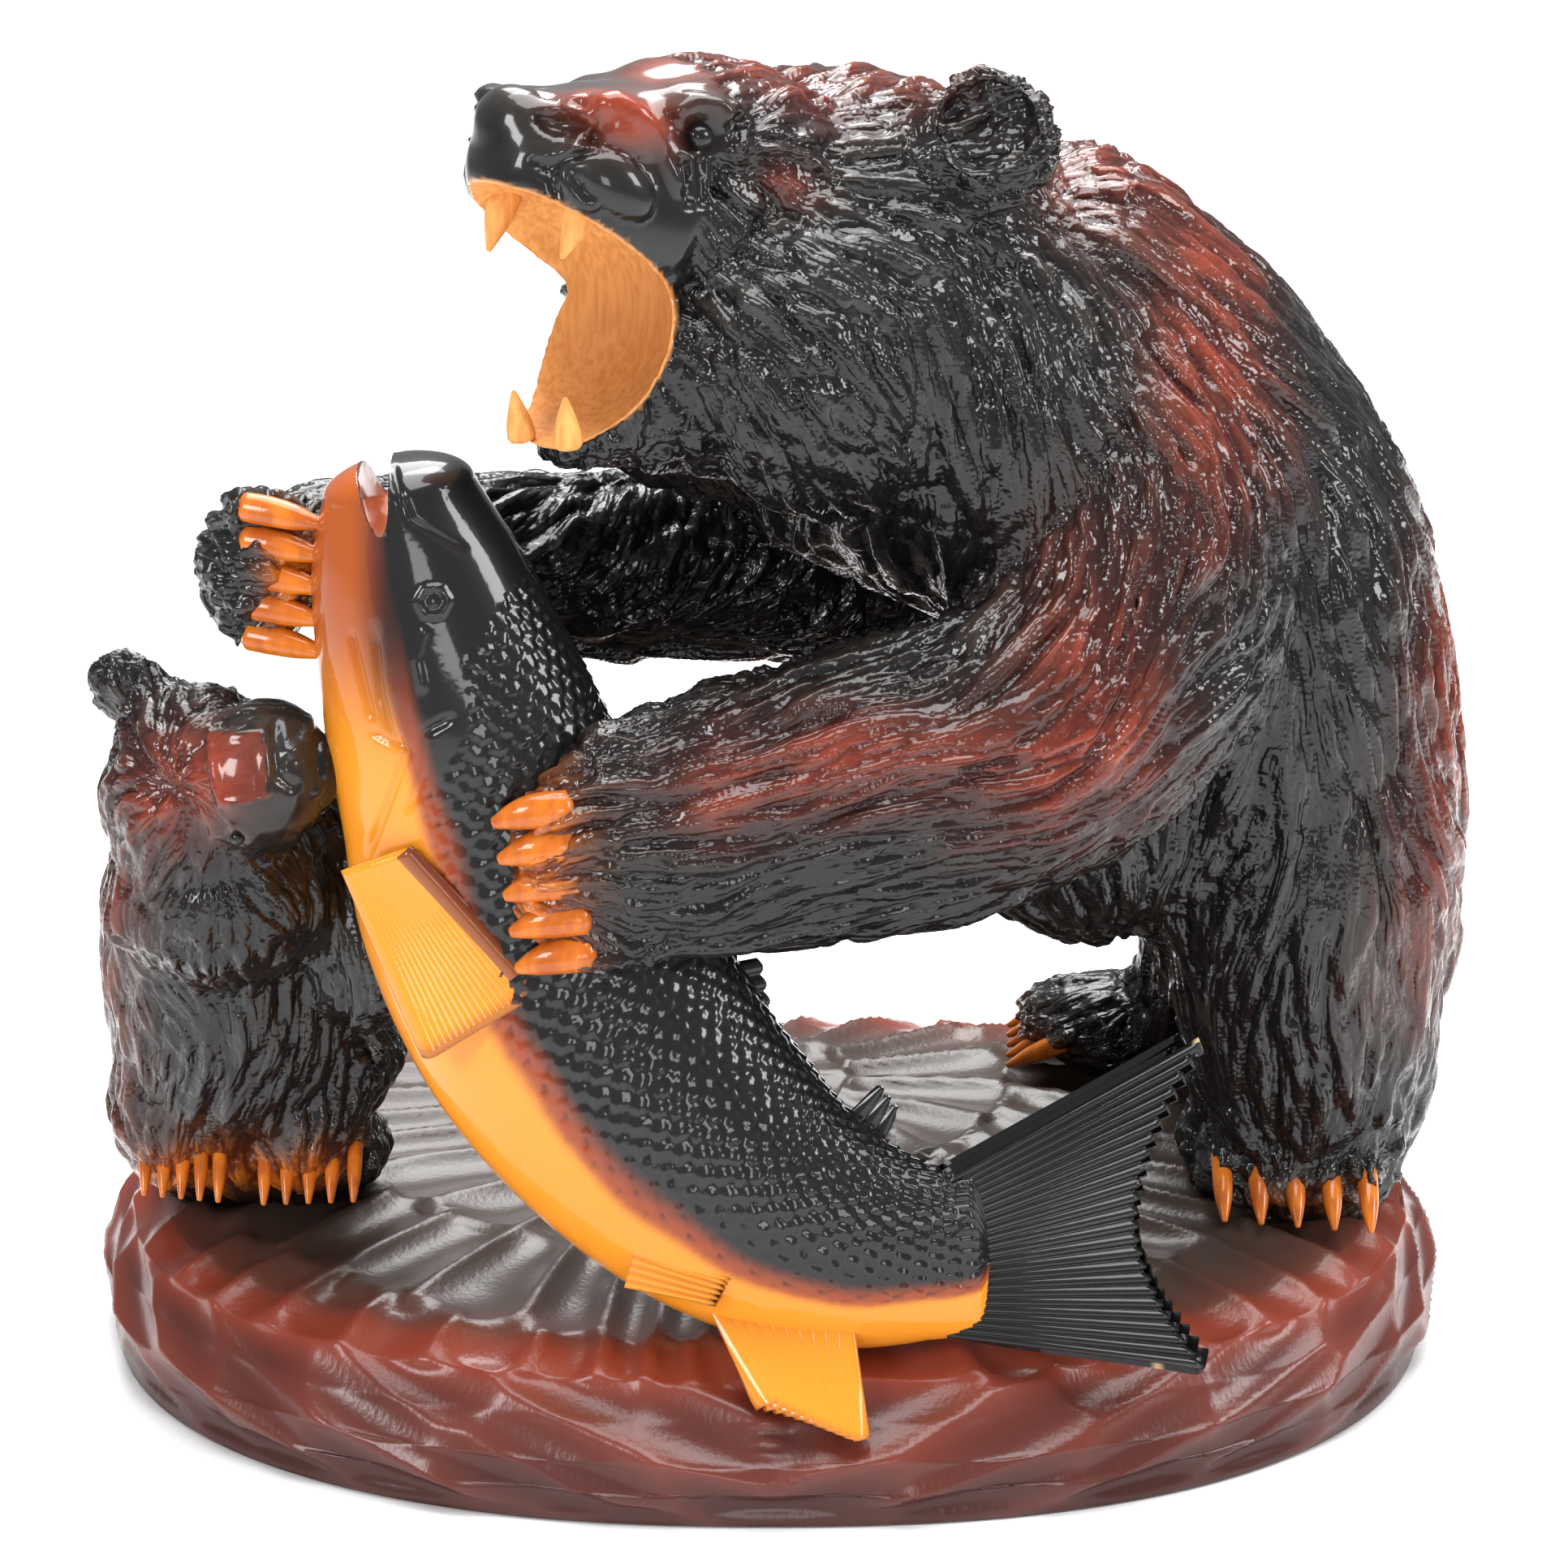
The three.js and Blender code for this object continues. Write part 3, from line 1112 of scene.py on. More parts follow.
@dataclass(frozen=True)
class ToeRow:
    """A row of toes spread along a line, each with a broad curved claw."""

    first: Triple
    last: Triple
    way: Triple
    toe: float
    claw_length: float
    claw_root: float
    claw_tip: float
    droop: float = 1.0
    back: float = 2.4
    count: int = 5
    facing: Triple = (0.0, -0.9, 0.4)

    def drawn(self, root: np.ndarray, steps: list[tuple[float, float, float]]) -> list[Station]:
        """Set stations out along one toe.

        Args:
            root: The toe's place in the row.
            steps: For each station, its distance, its drop and its half width.

        Returns:
            The stations.
        """
        heading = unit(np.array(self.way, float)[None, :])[0]
        made = []
        for distance, drop, radius in steps:
            p = root + heading * distance
            made.append((p[0], p[1], p[2] - drop, radius, radius))
        return made

    def toes(self) -> list[bpy.types.Object]:
        """The toes, to be fused into the paw.

        Returns:
            One mesh for each toe.
        """
        r = self.toe
        steps = [
            (-self.back * r, 0.0, 0.8 * r), (-r, 0.0, 0.86 * r),
            (0.0, 0.0, 0.84 * r), (0.8 * r, 0.0, 0.7 * r),
        ]
        roots = spaced(self.first, self.last, self.count)
        return [Sweep(self.drawn(root, steps), around=16, rings=16).mesh() for root in roots]

    def claws(self, name: str) -> bpy.types.Object:
        """The claws as one mesh.

        Args:
            name: The mesh's name.

        Returns:
            The claws, drawn in to their tips.
        """
        r, length = self.toe, self.claw_length
        middle = (self.claw_root + self.claw_tip) / 2 + 0.6
        steps = [
            (-0.3 * r, 0.0, self.claw_root), (0.8 * r, 0.0, self.claw_root),
            (r + 0.45 * length, 0.4 * self.droop, middle), (r + length, self.droop, self.claw_tip),
        ]
        roots = spaced(self.first, self.last, self.count)
        made = [
            Sweep(self.drawn(root, steps), around=14, rings=20, facing=self.facing, square=2.4).mesh()
            for root in roots
        ]
        return join(name, made)


# Mother bear

HEAD = Pose(at=(31.0, -20.0, 342.0), yaw=180.0 + 36.0, pitch=22.0, roll=8.0)
LEFTWARD = (0.0, 1.0, 0.0)


@dataclass
class Mouth:
    """The open mouth, scooped out of the head, and the wood left bare in it."""

    at: Triple = (122.0, 0.0, -43.0)
    radii: Triple = (48.0, 38.0, 37.0)
    turn: Triple = (0.0, 0.09, 0.0)

    def cutter(self) -> bpy.types.Object:
        """The shape that scoops it out."""
        return ball(self.at, self.radii, self.turn, HEAD)

    def distance(self, points: np.ndarray) -> np.ndarray:
        """Give how far places lie from its middle, 1 at its wall."""
        back = np.array(Euler(self.turn).to_matrix())
        return np.linalg.norm((HEAD.inside(points) - np.array(self.at)) @ back / np.array(self.radii), axis=1)

    def wall(self, piece: bpy.types.Object) -> np.ndarray:
        """Find the faces that its cutter left.

        Args:
            piece: The head with the mouth cut out.

        Returns:
            For each face, whether it is the mouth's wall.
        """
        centres = middles(piece)
        facing = np.empty(len(centres) * 3, np.float32)
        piece.data.polygons.foreach_get("normal", facing)
        inward = HEAD.outside(np.array([self.at], float)) - centres
        faces_in = np.sum(unit(inward) * facing.reshape(-1, 3), axis=1) > 0.3
        return (self.distance(centres) < 1.01) & faces_in


@dataclass
class Face:
    """What is carved on the muzzle and round the eyes, seen from the side: forward, then up."""

    lines: tuple[Line | Swell, ...] = (
        Line((
            (132.0, 10.2), (130.1, 13.5), (125.3, 16.4), (117.7, 14.3), (110.3, 9.8), (104.6, 3.2),
            (99.1, -2.5),
        ), 3.4, 3.0),
        Line(((128.1, 7.7), (132.4, 0.2), (131.0, -6.4), (126.4, -10.5), (121.0, -10.9)), 3.2, 2.8),
        Line(((105.9, 17.4), (101.4, 23.8), (94.6, 24.7), (90.3, 21.6)), 4.2, 3.4),
        Line(((91.8, 27.2), (86.4, 26.0), (84.9, 23.1), (86.1, 16.4), (83.6, 7.8)), 3.4, 3.2),
        Line(((102.1, 9.3), (95.8, -4.4)), 2.6, -3.0),
        Line(((96.6, 10.8), (92.1, -3.3)), 2.5, -2.8),
        Line(((91.9, 12.0), (87.9, -0.4)), 2.5, -2.8),
        Line((
            (138.9, 19.2), (131.6, 15.6), (127.7, 11.1), (127.7, 3.1), (135.6, -3.5), (140.2, -2.4),
        ), 2.4, -2.6),
        Line(((134.8, -3.5), (131.4, -10.6)), 2.0, -1.6),
        Swell((119.5, -3.0), (13.5, 7.5), 5.0, 0.5),
        Swell((119.5, 12.3), (12.0, 7.6), 4.0, 0.3),
        Swell((98.2, 15.9), (7.5, 6.0), -2.2),
        Swell((135.0, 9.1), (5.0, 3.6), -4.5),
    )

    def relief(self, points: np.ndarray, facing: np.ndarray) -> np.ndarray:
        """Give the height of the carving at places of the skin.

        Args:
            points: The skin's places.
            facing: The skin's normals.

        Returns:
            A height in millimetres for each place.
        """
        local = HEAD.inside(points)
        flank = smooth_step(np.abs(facing @ HEAD.way(LEFTWARD)), 0.12, 0.45)
        near = smooth_step(local[:, 0], 76.0, 82.0)
        return relief_of(self.lines, local[:, [0, 2]]) * flank * near


@dataclass
class MotherBear:
    """The mother: crouched, her head turned up and to the left, both forepaws on the salmon."""

    torso: list[Station] = field(default_factory=lambda: [
        (164, 26, 96, 60, 42), (167, 24, 120, 76, 52), (163, 21, 153, 84, 56), (153, 19, 195, 86, 61),
        (137, 14, 239, 86, 67), (117, 8, 273, 80, 66), (97, 2, 303, 73, 61), (72, -4, 328, 62, 58),
    ])
    neck: list[Station] = field(default_factory=lambda: [
        (20, -25, 315, 62, 60), (56, -18, 306, 70, 67), (90, -6, 288, 74, 65),
    ])
    near_arm: list[Station] = field(default_factory=lambda: [
        (100, -26, 306, 44, 40), (112, -48, 278, 42, 46), (106, -64, 248, 38, 46), (90, -76, 226, 38, 45),
        (60, -86, 212, 36, 46), (24, -94, 205, 33, 45), (-11, -101, 200, 30, 43), (-46, -110, 193, 24, 37),
    ])
    far_arm: list[Station] = field(default_factory=lambda: [
        (100, 46, 275, 38, 44), (63, 38, 262, 38, 42), (26, 28, 245, 34, 40), (-12, 12, 242, 30, 33),
        (-48, -4, 246, 28, 30), (-85, -20, 254, 26, 27), (-120, -38, 261, 23, 24), (-143, -55, 263, 20, 21),
    ])
    near_leg: list[Station] = field(default_factory=lambda: [
        (156, -16, 190, 46, 50), (163, -22, 158, 45, 50), (166, -20, 124, 42, 44), (168, -16, 93, 38, 41),
        (167, -12, 64, 34, 36),
    ])
    far_leg: list[Station] = field(default_factory=lambda: [
        (162, 62, 122, 40, 46), (154, 72, 90, 33, 37), (140, 79, 64, 27, 26),
    ])
    muzzle: list[Station] = field(default_factory=lambda: [
        (62, 0, 2, 40, 38), (85, 0, 1, 35, 35), (100, 0, -1, 33, 31), (112, 0, -1, 31, 28),
        (124, 0, 0, 27, 23), (135, 0, 2, 18, 17),
    ])
    jaw: list[Station] = field(default_factory=lambda: [
        (50, 0, -36, 40, 36), (74, 0, -50, 34, 30), (98, 0, -70, 19, 14),
    ])
    rows: dict[str, ToeRow] = field(default_factory=lambda: {
        "near_paw": ToeRow((-59, -122, 211), (-53, -125, 168), (-1, 0.0, -0.1), 8.0, 10.5, 5.2, 1.8, 2.5),
        "far_paw": ToeRow((-147, -78, 286), (-147, -80, 248), (1, -0.3, -0.1), 7.0, 14.0, 4.4, 1.6, back=0.4),
        "near_foot": ToeRow((140, -34, 63), (184, -42, 63), (0, -1, -0.7), 8.0, 13.0, 3.2, 0.9),
        "far_foot": ToeRow((100, 68, 60), (102, 102, 60), (-1, 0, -0.4), 8.0, 15.0, 3.6, 0.9),
    })
    skin: float = 2.75
    mouth: Mouth = field(default_factory=Mouth)

    def skull(self) -> list[bpy.types.Object]:
        """Make the head's masses in its own frame: forward, left, up.

        Returns:
            The masses, to be fused.
        """
        parts = [
            ball((8, 0, 0), (72, 62, 57), pose=HEAD),
            ball((64, 0, 17), (44, 42, 28.6), pose=HEAD),
            Sweep(self.muzzle, facing=LEFTWARD, square=2.7, pose=HEAD).mesh(),
            Sweep(self.jaw, facing=LEFTWARD, square=2.6, pose=HEAD).mesh(),
            ball((139, 0, 8), (8, 13, 11), pose=HEAD),
        ]
        for side in (1, -1):
            parts.append(ball((27, side * 27, -29), (56, 39, 50), pose=HEAD))
            parts.append(ball((90, side * 22, 20), (18, 14, 13), pose=HEAD))
            parts.append(ball((119, side * 16, 11.8), (16, 14, 10.6), pose=HEAD))
            parts.append(ball((19, side * 58, 35.5), (11, 23, 22), (0, 0, side * 0.75), HEAD))
        return parts

    def masses(self) -> list[bpy.types.Object]:
        """Make the body, the limbs and the paws.

        Returns:
            The masses, to be fused.
        """
        limbs = (self.torso, self.neck, self.near_arm, self.far_arm, self.near_leg, self.far_leg)
        parts = [Sweep(limb, around=40, rings=48).mesh() for limb in limbs]
        parts += [
            ball((100, -10, 180), (50, 56, 52)), ball((196, 62, 118), (16, 17, 18)),
            ball((-54, -112, 190), (24, 20, 32)), ball((-147, -66, 265), (20, 22, 25)),
            ball((164, -12, 58), (37, 37, 26)), ball((114, 84, 60), (34, 27, 17)),
        ]
        for row in self.rows.values():
            parts += row.toes()
        return parts

    def guides(self) -> list[Guide]:
        """Say which way the hair lies: down the back, along the arms to the paws, back from the face.

        Returns:
            The guides.
        """
        found = []
        limbs = ((self.near_arm, 32.0), (self.far_arm, 30.0), (self.near_leg, 36.0), (self.far_leg, 34.0))
        for limb, reach in limbs + ((self.torso[::-1], 58.0),):
            path = np.array([s[:3] for s in limb], float)
            found += [Guide(tuple(a), tuple(b - a), reach) for a, b in zip(path[:-1], path[1:])]
        middle = (
            ((120, 0, 20), (-1, 0, 0)), ((90, 0, 40), (-1, 0, 0.3)), ((50, 0, 58), (-1, 0, 0.1)),
            ((0, 0, 62), (-1, 0, -0.1)), ((60, 0, -84), (-0.8, 0, -0.5)), ((20, 0, -84), (-0.9, 0, -0.5)),
        )
        flank = (
            ((84, 34, 20), (-0.7, 0, 0.5)), ((70, 40, 0), (-1, 0.3, -0.3)), ((40, 55, 0), (-1, 0.2, -0.5)),
            ((40, 50, -40), (-0.7, 0.2, -0.8)), ((10, 50, -60), (-0.4, 0.2, -1)),
            ((70, 30, -70), (-0.7, 0, -0.7)), ((-20, 50, -20), (-0.8, 0, -0.7)),
            ((20, 60, 40), (-0.3, 0.6, 0.8)),
        )
        for at, way in middle:
            found.append(self.head_guide(at, way, 1))
        for at, way in flank:
            found += [self.head_guide(at, way, 1), self.head_guide(at, way, -1)]
        for row in self.rows.values():
            found += [Guide(tuple(root), row.way, 16.0) for root in spaced(row.first, row.last, row.count)]
        return found

    @staticmethod
    def head_guide(at: Triple, way: Triple, side: int) -> Guide:
        """A guide told in the head's frame, on its left or right."""
        place = HEAD.outside(np.array([[at[0], at[1] * side, at[2]]], float))[0]
        return Guide(tuple(place), tuple(HEAD.way((way[0], way[1] * side, way[2]))), 38.0)

    def build(self) -> list[bpy.types.Object]:
        """Fuse, cut and carve the mother, and part her skin at the neck, the shoulders and the rump.

        Returns:
            Her pieces.
        """
        body = fuse("mother_back", self.masses() + self.skull(), self.skin)
        cut(body, self.mouth.cutter())
        body.data.polygons.foreach_set("material_index", self.mouth.wall(body).astype(np.int32))
        for side in (1, -1):
            cut(body, ball((27, side * 66, 40), (9, 15, 16), (0, 0, side * 0.75), HEAD))
        apply(body, "SUBSURF", levels=1, render_levels=1)
        self.carve(body)
        furred = StainedFur().make("stained_fur")
        index = np.empty(len(body.data.polygons), np.int32)
        body.data.polygons.foreach_get("material_index", index)
        throat = split_off(body, "mother_mouth", index == 1)
        near = HEAD.inside(middles(body))
        head = split_off(body, "mother_head", near[:, 0] - 0.35 * near[:, 2] > 12.0)
        arms = split_off(body, "mother_arms", middles(body)[:, 0] < 104.0)
        legs = split_off(body, "mother_legs", middles(body)[:, 2] < 160.0)
        dress(throat, BareWood().make("mouth_wood"))
        made = [dress(piece, furred) for piece in (body, head, arms, legs)]
        claw_finish = CLAW_STAIN.make("claw_stain")
        made += [dress(row.claws(name + "_claws"), claw_finish) for name, row in self.rows.items()]
        return made + [throat] + self.details()

    def carve(self, body: bpy.types.Object) -> None:
        """Cut the fur and the face, spray the stains, and paint sheen on the upward surfaces and shade in the
        throat.

        Args:
            body: The fused body with its mouth cut out.
        """
        points, facing = places(body), normals(body)
        local = HEAD.inside(points)
        mouth = self.mouth.distance(points)
        smooth_nose = smooth_step(local[:, 0], 86.0, 94.0) * smooth_step(local[:, 2], -28.0, -20.0)
        depth = smooth_step(mouth, 1.0, 1.05) * (1.0 - smooth_nose)
        face = Face().relief(points, facing) * smooth_step(mouth, 1.0, 1.06)
        Fur(self.guides()).carve(body, depth, face)
        # Painted sheen, stronger where the skin faces up, with some random variation.
        upward = smooth_step(facing[:, 2], -0.1, 0.9)
        keep(body, "painted_sheen", 0.15 + 0.75 * upward + 0.2 * soft_noise(points, 50.0, 9))
        keep(body, "red", sprayed(points, self.red_clouds(), 0.45))
        keep(body, "orange", sprayed(points, self.orange_clouds()))
        keep(body, "bare", 1.0 - smooth_step(mouth, 1.012, 1.03))
        # Painted shade in the mouth: the bare wood darkens towards the throat.
        keep(body, "deep", 0.5 * (1.0 - smooth_step(local[:, 0], 74.0, 104.0)))

    def red_clouds(self) -> list[Spray]:
        """Aim red-brown at the forehead, the muzzle, the shoulder, the forearm and the rump.

        Returns:
            The clouds.
        """
        return [
            Spray((68, 20, 44), (22, 26, 14), 0.9, HEAD), Spray((36, 22, 56), (26, 26, 14), 0.8, HEAD),
            Spray((96, 10, 32), (14, 18, 9), 0.8, HEAD), Spray((119, 22, 15), (13, 14, 7), 1.6, HEAD),
            Spray((70, 44, 10), (10, 12, 6), 0.5, HEAD),
            Spray((105, -10, 374), (26, 40, 22), 0.8), Spray((129, -30, 325), (18, 40, 34), 0.95),
            Spray((125, -50, 293), (18, 40, 30), 0.9), Spray((92, -96, 248), (18, 34, 30), 0.9),
            Spray((82, -105, 217), (30, 34, 20), 0.85), Spray((25, -125, 228), (40, 24, 13), 0.7),
            Spray((-8, -125, 215), (26, 24, 12), 0.5), Spray((205, 0, 172), (18, 70, 44), 0.75),
            Spray((207, 0, 222), (16, 70, 40), 0.6), Spray((196, 0, 132), (18, 60, 26), 0.8),
        ]

    def orange_clouds(self) -> list[Spray]:
        """Aim orange at the claw ends of the paws.

        Returns:
            The clouds.
        """
        return [
            Spray((-68, -128, 188), (13, 16, 34), 1.3), Spray((-133, -88, 266), (9, 16, 28), 1.3),
            Spray((162, -60, 50), (40, 11, 9), 1.0), Spray((86, 86, 52), (9, 30, 9), 1.0),
        ]

    def details(self) -> list[bpy.types.Object]:
        """Make the fangs and the eyes.

        Returns:
            Two pieces.
        """
        fangs = []
        for side in (1, -1):
            fangs.append(self.fang((121, side * 19, -9), (0.15, -0.1 * side, -1), 17.0, 5.0))
            fangs.append(self.fang((103, side * 11, -74), (0.45, 0.1 * side, 1), 13.0, 4.2))
        teeth = dress(join("mother_fangs", fangs), BareWood().make("fang_wood"))
        eyeballs = [ball((97.5, side * 32.0, 15.5), (4.2, 3.4, 3.6), pose=HEAD) for side in (1, -1)]
        eyes = join("mother_eyes", eyeballs)
        return [teeth, dress(eyes, Polish().make("eye_gloss"))]

    @staticmethod
    def fang(root: Triple, way: Triple, length: float, radius: float) -> bpy.types.Object:
        """Make one fang, told in the head's frame.

        Args:
            root: Where it stands.
            way: Where it points.
            length: How long it is.
            radius: How thick it is at its root.

        Returns:
            The fang.
        """
        heading = unit(np.array(way, float)[None, :])[0]
        stations = []
        for share, width in ((0.0, 1.0), (0.35, 0.86), (0.7, 0.52), (1.0, 0.16)):
            p = np.array(root, float) + heading * length * share
            stations.append((*p, radius * width, radius * width))
        return Sweep(stations, around=16, rings=18, facing=LEFTWARD, pose=HEAD).mesh()


# Cub


@dataclass
class Cub:
    """The cub: seated behind the salmon's head, its own head laid over with the crown to the viewer."""

    body: list[Station] = field(default_factory=lambda: [
        (-165, -56, 178, 28, 30), (-166, -48, 150, 32, 36), (-161, -36, 112, 38, 42), (-162, -16, 78, 36, 40),
        (-162, -4, 54, 28, 36),
    ])
    arm: list[Station] = field(default_factory=lambda: [
        (-152, -48, 178, 22, 26), (-128, -56, 158, 20, 25), (-108, -68, 134, 16, 22),
    ])
    knee: list[Station] = field(default_factory=lambda: [(-144, -30, 106, 26, 28), (-124, -36, 92, 20, 22)])
    rows: dict[str, ToeRow] = field(default_factory=lambda: {
        "cub_left": ToeRow((-190, -45, 78), (-167, -50, 78), (0, -0.7, -0.72), 5.2, 16.0, 2.3, 0.8, 0.0),
        "cub_right": ToeRow((-153, -52, 78), (-126, -50, 78), (0, -0.7, -0.72), 5.2, 16.0, 2.3, 0.8, 0.0),
    })
    patch: tuple = ((-160.2, 224.6), (-144.0, 226.2), (-142.5, 209.6), (-156.5, 206.8), (-160.2, 224.6))
    patch_rim: tuple[float, float] = (2.2, 1.1)
    patch_depth: float = -78.0
    patch_red: float = 0.5
    face_front: tuple[float, float] = (78.0, 92.0)
    cheek: Triple = (-169.0, -100.0, 210.0)
    skin: float = 2.5

    def masses(self) -> list[bpy.types.Object]:
        """Make the trunk, the head, the legs and the feet.

        Returns:
            The masses, to be fused.
        """
        parts = [Sweep(limb, around=36, rings=36).mesh() for limb in (self.body, self.arm, self.knee)]
        parts += [
            ball((-166, -76, 196), (30, 28, 38), (0, 0, 0.2)), ball((-162, -74, 168), (35, 28, 31)),
            ball((-147, -88, 208), (22, 21, 24), (0, 0.5, 0.5)),
            ball((-186, -70, 230), (14, 8, 12), (0, 0.4, 0)),
            ball((-184, -84, 163), (14, 8, 11), (0, -0.4, 0)),
            ball((-184, -34, 86), (20, 28, 32)), ball((-142, -38, 84), (22, 28, 30)),
            ball((-178, -18, 60), (20, 20, 18)), ball((-139, -16, 60), (22, 21, 19)),
        ]
        for row in self.rows.values():
            parts += row.toes()
        return parts

    def guides(self) -> list[Guide]:
        """Say which way the hair lies: out from the cheek, down the ruff and the body, out to the feet.

        Returns:
            The guides.
        """
        found = [Guide((-164, -70, z), (0.15, 0, -1), 40.0) for z in (150, 124)]
        found += [Guide((x, -50, 90), (0.1, 0, -1), 30.0) for x in (-184, -142)]
        x, y, z = self.cheek
        for turn in np.linspace(0.0, 2 * math.pi, 12, endpoint=False):
            out = (math.cos(turn), 0.0, math.sin(turn))
            found.append(Guide((x + 20 * out[0], y, z + 24 * out[2]), out, 20.0))
        found.append(Guide((-160, -100, 165), (0.35, 0, -1), 26.0))
        found.append(Guide((-140, -100, 165), (0.6, 0, -0.8), 24.0))
        for row in self.rows.values():
            found += [Guide(tuple(root), row.way, 14.0) for root in spaced(row.first, row.last, row.count)]
        return found

    def build(self) -> list[bpy.types.Object]:
        """Fuse, carve and stain the cub.

        Returns:
            Its pieces.
        """
        body = fuse("cub_body", self.masses(), self.skin)
        apply(body, "SUBSURF", levels=1, render_levels=1)
        self.carve(body)
        dress(body, StainedFur().make("cub_fur"))
        nose_tip = ball((-131, -89, 209), (8, 10, 13), (0, 0.3, 0))
        eye = ball((-152, -105.5, 196), (2.2, 2.2, 2.2))
        nose = join("cub_nose", [nose_tip, eye])
        claw_finish = CLAW_STAIN.make("cub_claw_stain")
        claws = [dress(row.claws(name + "_claws"), claw_finish) for name, row in self.rows.items()]
        return [body, dress(nose, Polish().make("cub_nose_gloss"))] + claws

    def carve(self, body: bpy.types.Object) -> None:
        """Cut the fur, the patch's rim and the muzzle's folds, spray the stains, and paint sheen on the
        upward surfaces.

        Args:
            body: The fused cub.
        """
        points, facing = places(body), normals(body)
        side_view = points[:, [0, 2]]
        gap, _ = distance_to_line(side_view, np.array(self.patch))
        inside = self.in_patch(points)
        muzzle = Spray((-139, -104, 214), (19, 26, 20), 1.9).amount(points)
        depth = 1.0 - np.clip(np.maximum(muzzle, inside), 0.0, 1.0)
        front = smooth_step(-points[:, 1], *self.face_front)
        rim_width, rim_height = self.patch_rim
        rim = rim_height * smooth_step(1.0 - gap / rim_width, 0.0, 1.0)
        raised = rim * front + relief_of(self.muzzle_lines(), side_view) * front
        fur = Fur(
            self.guides(), lock_width=5.6, lock_reach=12.0, lock_depth=1.8, stroke_width=3.0, seed=21,
        )
        fur.carve(body, depth, raised)
        # Painted sheen, stronger where the skin faces up.
        keep(body, "painted_sheen", 0.3 + 0.6 * smooth_step(facing[:, 2], -0.2, 0.8))
        cheek_and_side = [
            Spray((-172, -104, 211), (15, 20, 17), 1.3), Spray((-200, -60, 120), (12, 40, 70), 0.5),
            Spray((-190, -90, 176), (12, 20, 26), 0.45),
        ]
        keep(body, "red", sprayed(points, cheek_and_side, 0.3) + inside * self.patch_red)
        feet = [Spray((-178, -64, 62), (20, 18, 13), 1.5), Spray((-140, -66, 62), (22, 18, 13), 1.5)]
        keep(body, "orange", sprayed(points, feet))
        keep(body, "bare", np.zeros(len(points)))

    def in_patch(self, points: np.ndarray) -> np.ndarray:
        """Find the smooth square patch beside the muzzle.

        Args:
            points: The skin's places.

        Returns:
            1 for each place in the patch, and 0 elsewhere.
        """
        inside = np.ones(len(points), bool)
        for (ax, az), (bx, bz) in zip(self.patch[:-1], self.patch[1:]):
            inside &= (bx - ax) * (points[:, 2] - az) - (bz - az) * (points[:, 0] - ax) < 0
        return (inside & (points[:, 1] < self.patch_depth)).astype(float)

    @staticmethod
    def muzzle_lines() -> tuple[Line | Swell, ...]:
        """Draw the folds on the muzzle and round the eye.

        Returns:
            The lines, seen from the front.
        """
        return (
            Line(((-136, 236), (-130, 230), (-133, 222), (-139, 220)), 2.6, 1.5),
            Line(((-141, 230), (-139, 215), (-134, 210)), 2.4, -1.4),
            Line(((-128, 226), (-126, 214), (-130, 205)), 2.6, 1.3),
            Line(((-157, 196), (-152, 201), (-147, 197), (-151, 192), (-157, 196)), 2.0, 1.0),
        )


# Salmon


@dataclass(frozen=True)
class Fin:
    """A ribbed fin between a root edge and a tip edge, each told by its two ends."""

    name: str
    root_a: Triple
    root_b: Triple
    tip_a: Triple
    tip_b: Triple
    rays: int
    thick: float
    notch: float = 0.0
    dark: float = 0.0
    ridge: float = 0.0
    dark_tip: float = 0.0
    chips: tuple[Triple, ...] = ()
    rib_height: float = 1.1
    chip_reach: Triple = (3.0, 14.0, 2.0)
    tip_cut: float = 1.6
    columns_per_ray: int = 7
    rows: int = 30

    def build(self) -> bpy.types.Object:
        """Make the fin.

        Returns:
            The fin, not yet dressed.
        """
        alone()
        bpy.ops.mesh.primitive_grid_add(
            x_subdivisions=self.rays * self.columns_per_ray, y_subdivisions=self.rows, size=2.0,
        )
        made = bpy.context.object
        raw = places(made) * MM
        s, out = (raw[:, 0] + 1) / 2, (raw[:, 1] + 1) / 2
        corners = (self.root_a, self.root_b, self.tip_a, self.tip_b)
        root_a, root_b, tip_a, tip_b = (np.array(corner, float) for corner in corners)
        a = root_a * (1 - out)[:, None] + tip_a * out[:, None]
        b = root_b * (1 - out)[:, None] + tip_b * out[:, None]
        outward = unit((tip_a + tip_b - root_a - root_b)[None, :])[0]
        rib = np.abs(np.sin(s * math.pi * self.rays))
        drawn_in = self.notch * out * np.sin(math.pi * s) + self.tip_cut * out ** 6 * (1 - rib)
        p = a * (1 - s)[:, None] + b * s[:, None] - outward * drawn_in[:, None]
        edge = smooth_step(s, 0.94, 0.97) * self.ridge
        lift = rib * self.rib_height * (0.35 + 0.65 * out) + edge + self.thick * 0.35 * (1 - 0.4 * out) - 0.6
        set_places(made, p + np.array(TOWARDS_VIEWER) * lift[:, None])
        keep(made, "rib", rib)
        last_ray = smooth_step(s, 0.92, 1.0) * (self.ridge > 0)
        keep(made, "edge", last_ray + smooth_step(out, 0.9, 1.0) * self.dark_tip)
        apply(made, "SOLIDIFY", thickness=self.thick * MM * 0.85, offset=-1.0)
        points = places(made)
        made.name = self.name
        made.data.name = self.name
        rib, edge = (kept(made, key) for key in ("rib", "edge"))
        keep(made, "dark", np.clip(self.dark + 0.6 * edge, 0.0, 1.0))
        keep(made, "red", np.clip(0.05 + 0.35 * (1 - rib) + edge, 0.0, 1.0))
        # Painted shade between the rays of dark fins.
        keep(made, "crease_shade", 0.3 * self.dark * (1 - rib))
        chipped = sprayed(points, [Spray(at, self.chip_reach, 1.3) for at in self.chips])
        keep(made, "chip", smooth_step(chipped, 0.45, 0.55))
        return made


